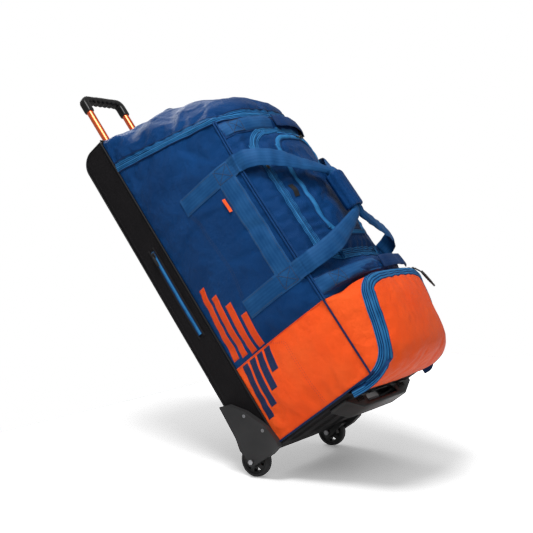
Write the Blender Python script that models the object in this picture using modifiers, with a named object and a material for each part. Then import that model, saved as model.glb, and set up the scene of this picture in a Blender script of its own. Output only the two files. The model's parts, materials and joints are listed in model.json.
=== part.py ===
"""Wheeled hockey equipment bag, standing upright on its two wheels and front skid.

Frame: origin on the ground under the middle of the bag's box, +Z up the bag's long side,
-X the rigid rear tub with the telescopic handle, +X the zipped front, -Y the near side.
The solids are first laid out from the wheel axle and the plane of symmetry (ORIGIN_SHIFT moves them).
"""

import math

import bmesh
import bpy
import numpy as np
from mathutils import Vector

# ---------------------------------------------------------------- driving dimensions
GAP = 0.0003                  # between pieces that touch
HALF_WIDTH = 0.200            # side panels, from the plane of symmetry
TUB_DEPTH = 0.090             # rear tub, back to front
TUB_BOTTOM = 0.045
TUB_TOP = 0.985
TUB_ROUND = 0.045             # rear top corner, seen from the side
TUB_EDGE = 0.009
SKIN = 0.005                  # padded fabric wall
SEAM_X = 0.402                # side panel's front seam
CROWN_X = 0.458               # front panel at its middle
BASE_TOP = 0.042              # bottom edge of the side panels
COLOUR_LINE = 0.250           # where the lower panels meet the upper ones
CAP_ZIP_BACK = 0.892          # end zip's height at the tub
CAP_ZIP_SLOPE = 0.29          # the end zip falls towards the front
WHEEL_RADIUS = 0.040
WHEEL_WIDTH = 0.024
WHEEL_TRACK_HALF = 0.1935
TUBE_X = 0.029
TUBE_HALF_SPACING = 0.0775
INNER_TUBE_RADIUS = 0.0100
OUTER_TUBE_RADIUS = 0.0120
OUTER_TUBE_BORE = 0.0107
GRIP_TOP = 1.206
LID_HALF_WIDTH = 0.140
LID_BOTTOM, LID_TOP = 0.335, 0.728
WEBBING = 0.050
WEBBING_THICKNESS = 0.0018
HANDLE_HIGH, HANDLE_LOW = 0.658, 0.345
SWING_X = 0.385               # where the carry handles leave the side panels
BOOT_HINGE = (0.336, 0.030)   # x and z of the boot pocket door's fold
GRIP_HALF_DEPTH = 0.014
HOUSING_FACE = 0.2185         # outer face of the wheel housings, from the plane of symmetry
SCREW_PLACES = (("upper", (0.050, 0.143)), ("lower", (0.076, 0.086)))
SLIDER_WIDTH = 0.0105
SLIDER_DEPTH = 0.0050
ORIGIN_SHIFT = Vector((-0.2495, 0.0, 0.0))

SIDES = (("near", -1), ("far", 1))


# ---------------------------------------------------------------- scene and materials
for leftover in list(bpy.data.objects):
    bpy.data.objects.remove(leftover)

parts = bpy.data.collections.new("hockey_equipment_bag")
cutters = bpy.data.collections.new("cutters")
bpy.context.scene.collection.children.link(parts)
bpy.context.scene.collection.children.link(cutters)

COLOURS = {
    "blue_fabric": ((0.020, 0.075, 0.220), 0.75, 0.0),
    "orange_fabric": ((0.850, 0.110, 0.020), 0.70, 0.0),
    "black_fabric": ((0.012, 0.012, 0.013), 0.80, 0.0),
    "webbing": ((0.045, 0.120, 0.270), 0.80, 0.0),
    "zip_blue": ((0.020, 0.170, 0.420), 0.55, 0.0),
    "moulded_plastic": ((0.035, 0.036, 0.040), 0.50, 0.0),
    "black_plastic": ((0.010, 0.010, 0.011), 0.40, 0.0),
    "orange_anodised": ((0.900, 0.180, 0.030), 0.30, 0.9),
    "raw_aluminium": ((0.700, 0.700, 0.720), 0.35, 1.0),
    "steel": ((0.450, 0.450, 0.460), 0.35, 1.0),
    "tyre": ((0.010, 0.010, 0.010), 0.70, 0.0),
    "board": ((0.060, 0.060, 0.065), 0.60, 0.0),
    "rubber": ((0.008, 0.008, 0.008), 0.75, 0.0),
}


def material_of(name):
    found = bpy.data.materials.get(name)
    if found:
        return found
    colour, roughness, metallic = COLOURS[name]
    made = bpy.data.materials.new(name)
    made.use_nodes = True
    shader = made.node_tree.nodes["Principled BSDF"]
    shader.inputs["Base Color"].default_value = (*colour, 1.0)
    shader.inputs["Roughness"].default_value = roughness
    shader.inputs["Metallic"].default_value = metallic
    return made


# ---------------------------------------------------------------- shape helpers
def link(name, mesh, material=None):
    """A new object: a part when it has a material, a cutter when it has none."""
    made = bpy.data.objects.new(name, mesh)
    if material is None:
        cutters.objects.link(made)
        made.hide_render = True
        made.display_type = "WIRE"
    else:
        parts.objects.link(made)
        mesh.materials.append(material_of(material))
    return made


def box(name, low, high, material=None, bevel=0.0, segments=2):
    mesh = bpy.data.meshes.new(name)
    cage = bmesh.new()
    bmesh.ops.create_cube(cage, size=1.0)
    low, high = Vector(low), Vector(high)
    bmesh.ops.scale(cage, vec=high - low, verts=cage.verts)
    cage.to_mesh(mesh)
    cage.free()
    made = link(name, mesh, material)
    made.location = (low + high) / 2
    if bevel:
        rounding = made.modifiers.new("edges", "BEVEL")
        rounding.width = bevel
        rounding.segments = segments
    return made


PLANES = {"x": (math.pi / 2, 0.0, math.pi / 2), "y": (math.pi / 2, 0.0, 0.0), "z": (0.0, 0.0, 0.0)}


def prism(name, outline, axis, low, high, material=None, holes=()):
    """A flat outline pushed along an axis. Its points are (y, z) for x, (x, z) for y and (x, y) for z."""
    curve = bpy.data.curves.new(name, "CURVE")
    curve.dimensions = "2D"
    curve.fill_mode = "BOTH"
    curve.extrude = (high - low) / 2
    for loop in (outline, *holes):
        spline = curve.splines.new("POLY")
        spline.points.add(len(loop) - 1)
        for point, (across, along) in zip(spline.points, loop):
            point.co = (across, along, 0.0, 1.0)
        spline.use_cyclic_u = True
    guide = bpy.data.objects.new(name + "_outline", curve)
    parts.objects.link(guide)
    guide.rotation_euler = PLANES[axis]
    middle = (low + high) / 2
    guide.location = {"x": (middle, 0, 0), "y": (0, middle, 0), "z": (0, 0, middle)}[axis]
    return from_curve(name, guide, material)


def from_curve(name, guide, material=None):
    bpy.context.view_layer.update()
    evaluated = guide.evaluated_get(bpy.context.evaluated_depsgraph_get())
    mesh = bpy.data.meshes.new_from_object(evaluated)
    mesh.name = name
    mesh.materials.clear()
    welded = bmesh.new()
    welded.from_mesh(mesh)
    bmesh.ops.remove_doubles(welded, verts=welded.verts, dist=1e-6)
    bmesh.ops.recalc_face_normals(welded, faces=welded.faces)
    welded.to_mesh(mesh)
    welded.free()
    made = link(name, mesh, material)
    made.matrix_world = guide.matrix_world
    bpy.data.objects.remove(guide)
    return made


def tube(name, points, radius, material=None, resolution=3):
    """A round bar along a polyline, with flat ends."""
    curve = bpy.data.curves.new(name, "CURVE")
    curve.dimensions = "3D"
    curve.bevel_depth = radius
    curve.bevel_resolution = resolution
    curve.use_fill_caps = True
    spline = curve.splines.new("POLY")
    spline.points.add(len(points) - 1)
    for point, where in zip(spline.points, points):
        point.co = (*where, 1.0)
    guide = bpy.data.objects.new(name + "_line", curve)
    parts.objects.link(guide)
    return from_curve(name, guide, material)


def cylinder(name, centre, axis, radius, length, material=None, segments=24):
    mesh = bpy.data.meshes.new(name)
    cage = bmesh.new()
    bmesh.ops.create_cone(
        cage, cap_ends=True, segments=segments, radius1=radius, radius2=radius, depth=length
    )
    cage.to_mesh(mesh)
    cage.free()
    made = link(name, mesh, material)
    made.location = centre
    made.rotation_euler = {"x": (0, math.pi / 2, 0), "y": (math.pi / 2, 0, 0), "z": (0, 0, 0)}[axis]
    return made


def turned(name, profile, centre, material, steps=32):
    """A profile of (radius, offset along Y) spun about the Y axis through centre."""
    mesh = bpy.data.meshes.new(name)
    cage = bmesh.new()
    rim = [cage.verts.new((radius, 0.0, offset)) for radius, offset in profile]
    for first, second in zip(rim, rim[1:] + rim[:1]):
        cage.edges.new((first, second))
    cage.to_mesh(mesh)
    cage.free()
    made = link(name, mesh, material)
    made.location = centre
    made.rotation_euler = (math.pi / 2, 0.0, 0.0)
    screw = made.modifiers.new("turn", "SCREW")
    screw.steps = steps
    screw.render_steps = steps
    screw.use_merge_vertices = True
    screw.merge_threshold = 0.00001
    return made


def combine(target, other, operation="DIFFERENCE"):
    """Cuts or joins other into target. What is joined becomes a helper."""
    if operation == "UNION":
        for collection in list(other.users_collection):
            collection.objects.unlink(other)
        cutters.objects.link(other)
        other.hide_render = True
        other.display_type = "WIRE"
    cut = target.modifiers.new(operation.lower(), "BOOLEAN")
    cut.operation = operation
    cut.solver = "EXACT"
    cut.object = other
    return target


def round_rectangle(low, high, radius, steps=6):
    """Corner points of a rounded rectangle from low to high, both (u, v)."""
    points = []
    corners = (
        (high[0] - radius, high[1] - radius, 0),
        (low[0] + radius, high[1] - radius, 90),
        (low[0] + radius, low[1] + radius, 180),
        (high[0] - radius, low[1] + radius, 270),
    )
    for u, v, start in corners:
        for step in range(steps + 1):
            angle = math.radians(start + 90 * step / steps)
            points.append((u + radius * math.cos(angle), v + radius * math.sin(angle)))
    return points


def front_x(y):
    """The crowned front's depth across the bag."""
    return CROWN_X - (CROWN_X - SEAM_X) * abs(y / HALF_WIDTH) ** 2.6


def zip_height(x):
    """The end zip's sloping plane."""
    return CAP_ZIP_BACK - (x - TUB_DEPTH) * CAP_ZIP_SLOPE


def front_band(half, thickness, proud=0.0, steps=14):
    """The crowned front as a closed band, (x, y) points."""
    across = [half * (2 * step / steps - 1) for step in range(steps + 1)]
    outer = [(front_x(y) + proud, y) for y in across]
    inner = [(front_x(y) + proud - thickness, y) for y in reversed(across)]
    return outer + inner


def above_zip(name, gap):
    """A cutter over the end zip's plane."""
    left, right = TUB_DEPTH - 0.02, CROWN_X + 0.06
    outline = [
        (left, zip_height(left) + gap),
        (right, zip_height(right) + gap),
        (right, TUB_TOP + 0.1),
        (left, TUB_TOP + 0.1),
    ]
    return prism(name, outline, "y", -0.3, 0.3)


# ---------------------------------------------------------------- rear tub and handle channel
def tub_shape(name, inset, material=None):
    """The rear tub, with softened edges and a round rear top corner seen from the side."""
    low = (inset, inset - HALF_WIDTH, TUB_BOTTOM + inset)
    high = (TUB_DEPTH + 0.05 + inset, HALF_WIDTH - inset, TUB_TOP - inset)
    shape = box(name, low, high, material, TUB_EDGE - inset, 3)
    radius = TUB_ROUND - inset
    corner = [(inset - 0.05, 0.0), (0.3, 0.0), (0.3, high[2] + 0.05), (inset + radius, high[2] + 0.05)]
    for step in range(7):
        angle = math.radians(90 + 15 * step)
        corner.append((inset + radius + radius * math.cos(angle), high[2] - radius + radius * math.sin(angle)))
    corner.append((inset - 0.05, high[2] - radius))
    return combine(shape, prism(name + "_side", corner, "y", -0.3, 0.3), "INTERSECT")


def make_tub():
    wall = 0.0035
    tub = tub_shape("rear_tub", 0.0, "black_fabric")
    combine(tub, tub_shape("tub_inside", wall))
    combine(tub, box("tub_front", (TUB_DEPTH - GAP, -0.3, 0.0), (0.3, 0.3, 1.2)))
    for side, sign in SIDES:
        notch = box(
            "tub_notch_" + side, (-0.01, -0.0395, 0.03), (0.0555, 0.0395, 0.1075), None
        )
        notch.location.y = sign * (WHEEL_TRACK_HALF + 0.0125)
        combine(tub, notch)
    combine(tub, box("bezel_recess", (0.0085, -0.1095, 0.969), (0.0555, 0.1095, 1.05)))


def make_handle_channel():
    box("back_board", (0.0040, -0.160, 0.115), (0.0060, 0.160, 0.940), "board")
    outline = [
        (0.0065, -0.118), (0.0470, -0.106), (0.0470, 0.106), (0.0065, 0.118),
        (0.0065, 0.1155), (0.0446, 0.104), (0.0446, -0.104), (0.0065, -0.1155),
    ]
    prism("handle_cover", outline, "z", 0.079, 0.950, "black_fabric")
    bezel = box(
        "handle_bezel", (0.0090, -0.109, 0.970), (0.0550, 0.109, TUB_TOP + 0.006), "moulded_plastic", 0.002
    )
    bracket = box(
        "handle_foot_bracket", (0.0150, -0.100, 0.0560), (0.0440, 0.100, 0.0770), "moulded_plastic", 0.002
    )
    for side, sign in SIDES:
        centre = (TUBE_X, sign * TUBE_HALF_SPACING, 0.5)
        combine(bezel, cylinder("bezel_hole_" + side, centre, "z", INNER_TUBE_RADIUS + GAP, 1.2, None, 32))
        low, high = 0.0640, 0.9690
        outer = cylinder(
            "outer_tube_" + side, (TUBE_X, centre[1], (low + high) / 2), "z",
            OUTER_TUBE_RADIUS, high - low, "raw_aluminium", 24,
        )
        combine(outer, cylinder("outer_bore_" + side, centre, "z", OUTER_TUBE_BORE, 1.2, None, 24))
        foot = (TUBE_X, centre[1], 0.0740)
        socket = cylinder("foot_socket_" + side, foot, "z", OUTER_TUBE_RADIUS + GAP, 0.0206, None, 24)
        combine(bracket, socket)


def make_telescopic_handle():
    top = GRIP_TOP
    reach = TUBE_HALF_SPACING + 0.0165
    outline = [(-reach, 1.150), (-reach, top - 0.012), (-reach + 0.012, top), (reach - 0.012, top),
               (reach, top - 0.012), (reach, 1.150), (TUBE_HALF_SPACING - 0.0135, 1.150),
               (TUBE_HALF_SPACING - 0.0150, 1.170)]
    scallops, bumps = 24, 6
    span = TUBE_HALF_SPACING - 0.020
    for step in range(scallops + 1):
        y = span * (1 - 2 * step / scallops)
        ridge = 0.0022 * math.cos(2 * math.pi * bumps * step / scallops)
        outline.append((y, 1.1800 - ridge))
    outline += [(-TUBE_HALF_SPACING + 0.0150, 1.170), (-TUBE_HALF_SPACING + 0.0135, 1.150)]
    back, front = TUBE_X - GRIP_HALF_DEPTH, TUBE_X + GRIP_HALF_DEPTH
    grip = prism("handle_grip", outline, "x", back, front, "black_plastic")
    rounding = grip.modifiers.new("edges", "BEVEL")
    rounding.width = 0.0025
    rounding.segments = 2
    rounding.limit_method = "ANGLE"
    rounding.angle_limit = math.radians(50)
    recess = Vector((0.0066, 0.0206, 0.0))
    floor, middle = GRIP_TOP - 0.007, Vector((TUBE_X, 0.0, 0.0))
    low, high = middle - recess + Vector((0, 0, floor)), middle + recess + Vector((0, 0, 1.22))
    combine(grip, box("button_recess", low, high))
    for side, sign in SIDES:
        y = sign * TUBE_HALF_SPACING
        socket = (TUBE_X, y, 1.1300)
        combine(grip, cylinder("grip_socket_" + side, socket, "z", INNER_TUBE_RADIUS + GAP, 0.1, None, 24))
        low, high = 0.4200, 1.1790
        inner = cylinder(
            "inner_tube_" + side, (TUBE_X, y, (low + high) / 2), "z",
            INNER_TUBE_RADIUS, high - low, "orange_anodised", 24,
        )
        bore = (TUBE_X, y, 0.8)
        combine(inner, cylinder("inner_bore_" + side, bore, "z", INNER_TUBE_RADIUS - 0.0015, 1.0, None, 24))
        cylinder("guide_block_" + side, (TUBE_X, y, 0.4070), "z", 0.0104, 0.0250, "black_plastic", 24)
    button = recess - Vector((0.0004, 0.0004, 0.0))
    low, high = middle - button + Vector((0, 0, 1.2025)), middle + button + Vector((0, 0, 1.2095))
    box("release_button", low, high, "black_plastic", 0.0012)


# ---------------------------------------------------------------- wheels and their housings
def make_wheel(side, sign):
    centre = (0.0, sign * WHEEL_TRACK_HALF, WHEEL_RADIUS)
    half = WHEEL_WIDTH / 2
    tread = WHEEL_RADIUS
    rim = 0.0310
    turned(
        "wheel_tyre_" + side,
        [(rim, half - 0.001), (tread - 0.005, half), (tread - 0.0012, half - 0.004), (tread, 0.0),
         (tread - 0.0012, 0.004 - half), (tread - 0.005, -half), (rim, 0.001 - half)],
        centre, "tyre", 40,
    )
    hub = turned(
        "wheel_hub_" + side,
        [(0.0112, half - 0.0005), (0.0150, half - 0.0005), (0.0165, half - 0.003), (0.0260, half - 0.004),
         (rim - GAP, half - 0.002), (rim - GAP, 0.002 - half), (0.0260, 0.004 - half),
         (0.0165, 0.003 - half), (0.0150, 0.0005 - half), (0.0112, 0.0005 - half)],
        centre, "black_plastic", 40,
    )
    for spoke in range(5):
        turn = 2 * math.pi * (spoke + 0.5) / 5
        window = []
        for radius, half_angle in ((0.0180, 20), (0.0270, 24)):
            for step in range(4):
                share = 1 - 2 * step / 3 if radius > 0.02 else 2 * step / 3 - 1
                angle = turn + math.radians(half_angle) * share
                window.append((radius * math.cos(angle), WHEEL_RADIUS + radius * math.sin(angle)))
        cutter = prism(f"hub_window_{side}_{spoke}", window, "y", centre[1] - 0.02, centre[1] + 0.02)
        combine(hub, cutter)
    turned(
        "wheel_bearings_" + side,
        [(0.0042, half), (0.0108, half), (0.0108, half - 0.007), (0.0062, half - 0.0075),
         (0.0062, 0.0075 - half), (0.0108, 0.007 - half), (0.0108, -half), (0.0042, -half)],
        centre, "steel", 24,
    )


def make_axle_bolt(side, sign):
    """A bolt through both cheeks of the housing, with its head outside and its nut inside."""
    y_head = sign * 0.2190
    y_end = sign * 0.1600
    bolt = cylinder("axle_bolt_" + side, (0, (y_head + y_end) / 2, WHEEL_RADIUS), "y", 0.0039,
                    abs(y_head - y_end), "steel", 16)
    head = cylinder("axle_head_" + side, (0, sign * 0.2206, WHEEL_RADIUS), "y", 0.0070, 0.0036, "steel", 6)
    combine(bolt, head, "UNION")
    nut = cylinder("axle_nut_" + side, (0, sign * 0.1631, WHEEL_RADIUS), "y", 0.0072, 0.0060, "steel", 6)
    combine(bolt, nut, "UNION")


def make_housing(side, sign):
    """Corner moulding: an outer cheek over the tub's side, a wheel arch and an inner cheek."""
    cheek = [
        (0.000, 0.198), (0.024, 0.190), (0.058, 0.150), (0.090, 0.088), (0.0950, 0.050), (0.0930, 0.031),
        (0.062, 0.026),
    ]
    boss = 0.0130
    for step in range(9):
        angle = math.radians(-80 - 20 * step)
        cheek.append((boss * math.cos(angle), WHEEL_RADIUS + boss * math.sin(angle)))
    cheek += [(-0.0115, 0.080), (-0.0040, 0.110)]
    near_y, far_y = sorted((sign * HOUSING_FACE, sign * (HALF_WIDTH + GAP)))
    housing = prism("wheel_housing_" + side, cheek, "y", near_y, far_y, "moulded_plastic")
    arch = [
        (-0.0110, WHEEL_RADIUS - 0.013), (0.010, WHEEL_RADIUS - 0.013), (0.0545, 0.036), (0.0545, 0.1045),
        (0.0010, 0.1045), (-0.0110, 0.086),
    ]
    low, high = sorted((sign * 0.2100, sign * 0.1675))
    combine(housing, prism("arch_" + side, arch, "y", low, high, "moulded_plastic"), "UNION")
    well = cylinder(
        "wheel_well_" + side, (0.0, sign * WHEEL_TRACK_HALF, WHEEL_RADIUS), "y",
        WHEEL_RADIUS + 0.0045, WHEEL_WIDTH + 0.0040, None, 40,
    )
    combine(housing, well)
    axle = (0, sign * 0.19, WHEEL_RADIUS)
    combine(housing, cylinder("axle_hole_" + side, axle, "y", 0.0042, 0.1, None, 16))
    for place, (x, z) in SCREW_PLACES:
        which = f"{side}_{place}"
        hole = (x, sign * (HOUSING_FACE - 0.0035), z)
        combine(housing, cylinder("screw_hole_" + which, hole, "y", 0.0048, 0.0150, None, 16))
        head = (x, sign * (HOUSING_FACE - 0.0055), z)
        screw = cylinder("housing_screw_" + which, head, "y", 0.0044, 0.0100, "steel", 16)
        drive = (x, sign * (HOUSING_FACE - 0.0005), z)
        combine(screw, cylinder("screw_drive_" + which, drive, "y", 0.0020, 0.0040, None, 6))


# ---------------------------------------------------------------- fabric body
def make_side_panels(side, sign):
    low, high = sorted((sign * HALF_WIDTH, sign * (HALF_WIDTH - SKIN)))
    back = TUB_DEPTH + GAP
    upper = [
        (back, COLOUR_LINE + GAP), (SEAM_X, COLOUR_LINE + GAP),
        (SEAM_X, zip_height(SEAM_X) - GAP), (back, zip_height(back) - GAP),
    ]
    prism("side_panel_" + side, upper, "y", low, high, "blue_fabric")
    lower = [(back, BASE_TOP), (SEAM_X, BASE_TOP), (SEAM_X, COLOUR_LINE - GAP), (back, COLOUR_LINE - GAP)]
    prism("lower_side_panel_" + side, lower, "y", low, high, "orange_fabric")


def make_front_panel():
    half = HALF_WIDTH - SKIN - GAP
    panel = prism("front_panel", front_band(half, SKIN), "z", COLOUR_LINE + GAP, TUB_TOP, "blue_fabric")
    combine(panel, above_zip("front_top_cut", -GAP))
    opening = round_rectangle((-LID_HALF_WIDTH, LID_BOTTOM), (LID_HALF_WIDTH, LID_TOP), 0.060)
    combine(panel, prism("lid_opening", opening, "x", 0.35, 0.55))


def make_front_lid():
    """The D-shaped lid, folding along its far edge."""
    inset = 0.0012
    half = LID_HALF_WIDTH - inset
    lid = prism("front_lid", front_band(half, SKIN), "z", LID_BOTTOM, LID_TOP, "blue_fabric")
    outline = round_rectangle((-half, LID_BOTTOM + inset), (half, LID_TOP - inset), 0.059)
    keep = prism("lid_outline", outline, "x", 0.35, 0.55)
    combine(lid, keep, "INTERSECT")
    pocket = prism("lid_pocket", front_band(0.088, 0.016, 0.0163, 8), "z", 0.395, 0.690, "blue_fabric")
    rim = prism("pocket_outline", round_rectangle((-0.088, 0.395), (0.088, 0.690), 0.035), "x", 0.35, 0.55)
    combine(pocket, rim, "INTERSECT")


def make_top_cap():
    """The end cap over the sloping zip, hollow and open below."""
    def wedge(name, inset, material):
        back = TUB_DEPTH + GAP + inset
        front = CROWN_X - 0.012 - inset
        below = 0.06
        outline = [
            (back, zip_height(back) - below), (front, zip_height(front) - below), (front, 0.868 - inset),
            (0.395 - inset, 0.905 - inset), (0.250, 0.960 - inset), (0.160, 0.980 - inset),
            (back, TUB_TOP - 0.001 - inset),
        ]
        made = prism(name, outline, "y", inset - HALF_WIDTH, HALF_WIDTH - inset, material)
        rounding = made.modifiers.new("edges", "BEVEL")
        rounding.width = 0.018 - inset
        rounding.segments = 2
        rounding.limit_method = "ANGLE"
        rounding.angle_limit = math.radians(60)
        return made

    cap = wedge("top_cap", 0.0, "blue_fabric")
    combine(cap, above_zip("cap_keep", GAP), "INTERSECT")
    combine(cap, wedge("cap_inside", SKIN, None))
    arch = []
    for step in range(9):
        share = step / 8
        arch.append((0.060 * (2 * share - 1), 0.9775 + 0.022 * math.sin(math.pi * share) ** 0.5))
    outline = [(y, z + 0.0022) for y, z in arch] + [(y, z - 0.0008) for y, z in reversed(arch)]
    prism("top_grab_handle", outline, "x", 0.190, 0.222, "webbing")


def door_plan(inset):
    """The boot pocket door from above, crowned across the bag, (x, y) points."""
    half, side_x, crown = 0.1780 - inset, 0.4700, 0.0620 - inset
    outline = [(BOOT_HINGE[0] - 0.01, -half)]
    for step in range(17):
        share = step / 8 - 1
        outline.append((side_x + crown * (1 - abs(share) ** 2.4), half * share))
    return outline + [(BOOT_HINGE[0] - 0.01, half)]


def make_boot_pocket():
    """Orange gussets at the lower front, a door that folds down, and the inner divider."""
    back, front = SEAM_X + GAP, 0.4700
    outer = [(back, -0.1985), (front, -0.1670), (front, 0.1670), (back, 0.1985)]
    frame = prism("boot_pocket_frame", outer, "z", BASE_TOP, COLOUR_LINE - GAP, "orange_fabric")
    inner = [(back - 0.02, -0.2000), (front + 0.02, -0.1515), (front + 0.02, 0.1515), (back - 0.02, 0.2000)]
    combine(frame, prism("boot_frame_inside", inner, "z", 0.0, COLOUR_LINE - SKIN))
    hinge_x, hinge_z = BOOT_HINGE
    rear = front + GAP
    door_shape = [
        (hinge_x, hinge_z - 0.002), (0.400, 0.0180), (0.460, 0.0160), (0.495, 0.0280), (0.515, 0.0600),
        (0.530, 0.1200), (0.532, 0.1800), (0.520, 0.2250), (0.497, 0.2430), (rear, COLOUR_LINE - GAP),
        (rear, BASE_TOP - GAP), (hinge_x, BASE_TOP - GAP),
    ]
    door = prism("boot_pocket_door", door_shape, "y", -0.1780, 0.1780, "orange_fabric")
    combine(door, prism("door_crown", door_plan(0.0), "z", 0.0, 0.3), "INTERSECT")
    hollow = [
        (hinge_x + 0.006, 0.0520), (hinge_x + 0.006, 0.0335), (0.402, 0.0235), (0.458, 0.0215),
        (0.491, 0.0320), (0.510, 0.0620), (0.5245, 0.1210), (0.5265, 0.1790), (0.515, 0.2220),
        (0.494, 0.2375), (0.460, 0.2445), (0.460, 0.0520),
    ]
    hollow = prism("door_hollow", hollow, "y", -0.1730, 0.1730)
    combine(hollow, prism("door_inner_crown", door_plan(SKIN), "z", 0.0, 0.3), "INTERSECT")
    combine(door, hollow)
    divider = [
        (0.3250, 0.0425), (0.3290, 0.0425), (0.3290, 0.2400), (0.4010, 0.2400), (0.4010, 0.2440),
        (0.3250, 0.2440),
    ]
    prism("boot_divider", divider, "y", -0.1940, 0.1940, "black_fabric")


# ---------------------------------------------------------------- base
def make_base():
    back, front = TUB_DEPTH + GAP, 0.3245
    box("base_plate", (back, -HALF_WIDTH, 0.0360), (front, HALF_WIDTH, BASE_TOP - GAP), "black_fabric")
    outline = [
        (-0.190, 0.0357), (-0.190, 0.0260), (-0.125, 0.0), (0.125, 0.0), (0.190, 0.0260), (0.190, 0.0357),
    ]
    gap = round_rectangle((-0.082, 0.0130), (0.082, 0.0300), 0.006, 3)
    prism("front_skid", outline, "x", 0.2620, 0.3160, "moulded_plastic", (gap,))


# ---------------------------------------------------------------- webbing, carry handles and straps
def make_webbing_anchor(side, sign):
    """Webbing sewn to the side: two legs and the band that joins them."""
    half = WEBBING / 2
    low, high = sorted((sign * (HALF_WIDTH + GAP), sign * (HALF_WIDTH + GAP + WEBBING_THICKNESS)))
    left, inner, right = 0.215, SWING_X - GAP - WEBBING, SWING_X - GAP
    outline = [
        (left, HANDLE_LOW - half), (right, HANDLE_LOW - half), (right, HANDLE_HIGH + half),
        (left, HANDLE_HIGH + half), (left, HANDLE_HIGH - half), (inner, HANDLE_HIGH - half),
        (inner, HANDLE_LOW + half), (left, HANDLE_LOW + half),
    ]
    prism("handle_anchor_" + side, outline, "y", low, high, "webbing")


def handle_route():
    """Near carry handle, upper leg to lower leg: (centre, half width, half thickness, width's direction)."""
    leg, core = (0.0245, 0.0016), (0.0090, 0.0110)
    upper = [
        (0.3860, -0.2050, HANDLE_HIGH), (0.4150, -0.2085, 0.656), (0.4450, -0.2000, 0.648),
        (0.4720, -0.1700, 0.634), (0.4930, -0.1300, 0.614), (0.5070, -0.0850, 0.590),
        (0.5150, -0.0450, 0.570), (0.5180, -0.0180, 0.556),
    ]
    lower = [
        (0.5180, -0.0180, 0.420), (0.5140, -0.0450, 0.404), (0.5050, -0.0850, 0.384),
        (0.4900, -0.1300, 0.364), (0.4700, -0.1700, 0.352), (0.4440, -0.2000, 0.346),
        (0.4150, -0.2085, HANDLE_LOW), (0.3860, -0.2050, HANDLE_LOW),
    ]
    route = []
    for step, point in enumerate(upper):
        share = max(0.0, (step - 4) / 4)
        route.append((point, *[a + (b - a) * share for a, b in zip(leg, core)], (0, share, 1 - share)))
    route.append(((0.5190, -0.0105, 0.540), *core, (0, 1, 0)))
    route.append(((0.5190, -0.0105, 0.436), *core, (0, 1, 0)))
    for step, point in enumerate(lower):
        share = max(0.0, (3 - step) / 4)
        route.append((point, *[a + (b - a) * share for a, b in zip(leg, core)], (0, share, share - 1)))
    return route


def make_carry_handle(side, sign):
    """A loft of a flat section along the handle's route, turning with it."""
    route = handle_route()
    centres = [Vector(point) for point, *_ in route]
    cage = bmesh.new()
    rings = []
    for index, (point, half_width, half_thickness, width) in enumerate(route):
        before = centres[max(0, index - 1)]
        after = centres[min(len(centres) - 1, index + 1)]
        along = (after - before).normalized()
        width = Vector(width)
        width = (width - along * width.dot(along)).normalized()
        across = along.cross(width)
        ring = []
        for u, v in ((1, 1), (-1, 1), (-1, -1), (1, -1)):
            place = Vector(point) + width * u * half_width + across * v * half_thickness
            ring.append(cage.verts.new((place.x, -sign * place.y, place.z)))
        rings.append(ring)
    for first, second in zip(rings, rings[1:]):
        for corner in range(4):
            other = (corner + 1) % 4
            cage.faces.new((first[corner], first[other], second[other], second[corner]))
    cage.faces.new(rings[0])
    cage.faces.new(list(reversed(rings[-1])))
    bmesh.ops.recalc_face_normals(cage, faces=cage.faces)
    mesh = bpy.data.meshes.new("carry_handle_" + side)
    cage.to_mesh(mesh)
    cage.free()
    link("carry_handle_" + side, mesh, "webbing")


def make_handle_wrap():
    """Padded wrap on the near handle, open towards the far one so that they part."""
    outline = [
        (0.5390, 0.0215), (0.5390, -0.0280), (0.4985, -0.0280), (0.4985, 0.0215), (0.5072, 0.0215),
        (0.5072, -0.0200), (0.5308, -0.0200), (0.5308, 0.0215),
    ]
    prism("handle_wrap", outline, "z", 0.4400, 0.5360, "blue_fabric")


def make_compression_strap(name, middle):
    """A band across the front, sewn down at the near seam, with its buckle towards the far side."""
    prism(
        name, front_band(0.1930, WEBBING_THICKNESS, GAP + WEBBING_THICKNESS, 14), "z",
        middle - WEBBING / 2 + 0.001, middle + WEBBING / 2 - 0.001, "webbing",
    )
    inner, outer = 0.124, 0.176
    lift = front_x(inner) + GAP * 2 + WEBBING_THICKNESS
    box(
        name + "_buckle", (lift, inner, middle - 0.0200), (lift + 0.0085, outer, middle + 0.0200),
        "black_plastic", 0.002,
    )


# ---------------------------------------------------------------- zips and sliders
def make_side_pocket_zip():
    proud, touching = -HALF_WIDTH - 0.0022, -HALF_WIDTH - GAP
    box("side_pocket_zip", (0.0450, proud, 0.380), (0.0590, touching, 0.640), "zip_blue", 0.0006, 1)


def make_slider(name, foot, face, along, length=0.0150):
    """A zip slider: long along the zip, with its foot on the face that it runs on."""
    face, along = Vector(face), Vector(along)
    across = face.cross(along)
    half = Vector((0.0, 0.0, 0.0))
    for direction, extent in ((face, SLIDER_DEPTH), (along, length), (across, SLIDER_WIDTH)):
        half += Vector([abs(part) for part in direction]) * extent / 2
    middle = Vector(foot) + face * SLIDER_DEPTH / 2
    box(name, middle - half, middle + half, "black_plastic", 0.0010)


def make_pull(name, centre, size, material):
    half = Vector(size) / 2
    box(name, Vector(centre) - half, Vector(centre) + half, material, min(size) * 0.3)


make_tub()
make_handle_channel()
make_telescopic_handle()
make_side_pocket_zip()
make_front_panel()
make_front_lid()
make_top_cap()
make_boot_pocket()
make_base()
for side_name, side_sign in SIDES:
    make_wheel(side_name, side_sign)
    make_axle_bolt(side_name, side_sign)
    make_housing(side_name, side_sign)
    make_side_panels(side_name, side_sign)
    make_webbing_anchor(side_name, side_sign)
    make_carry_handle(side_name, side_sign)
make_handle_wrap()
make_compression_strap("upper_strap", 0.7560)
make_compression_strap("lower_strap", 0.2880)

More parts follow.
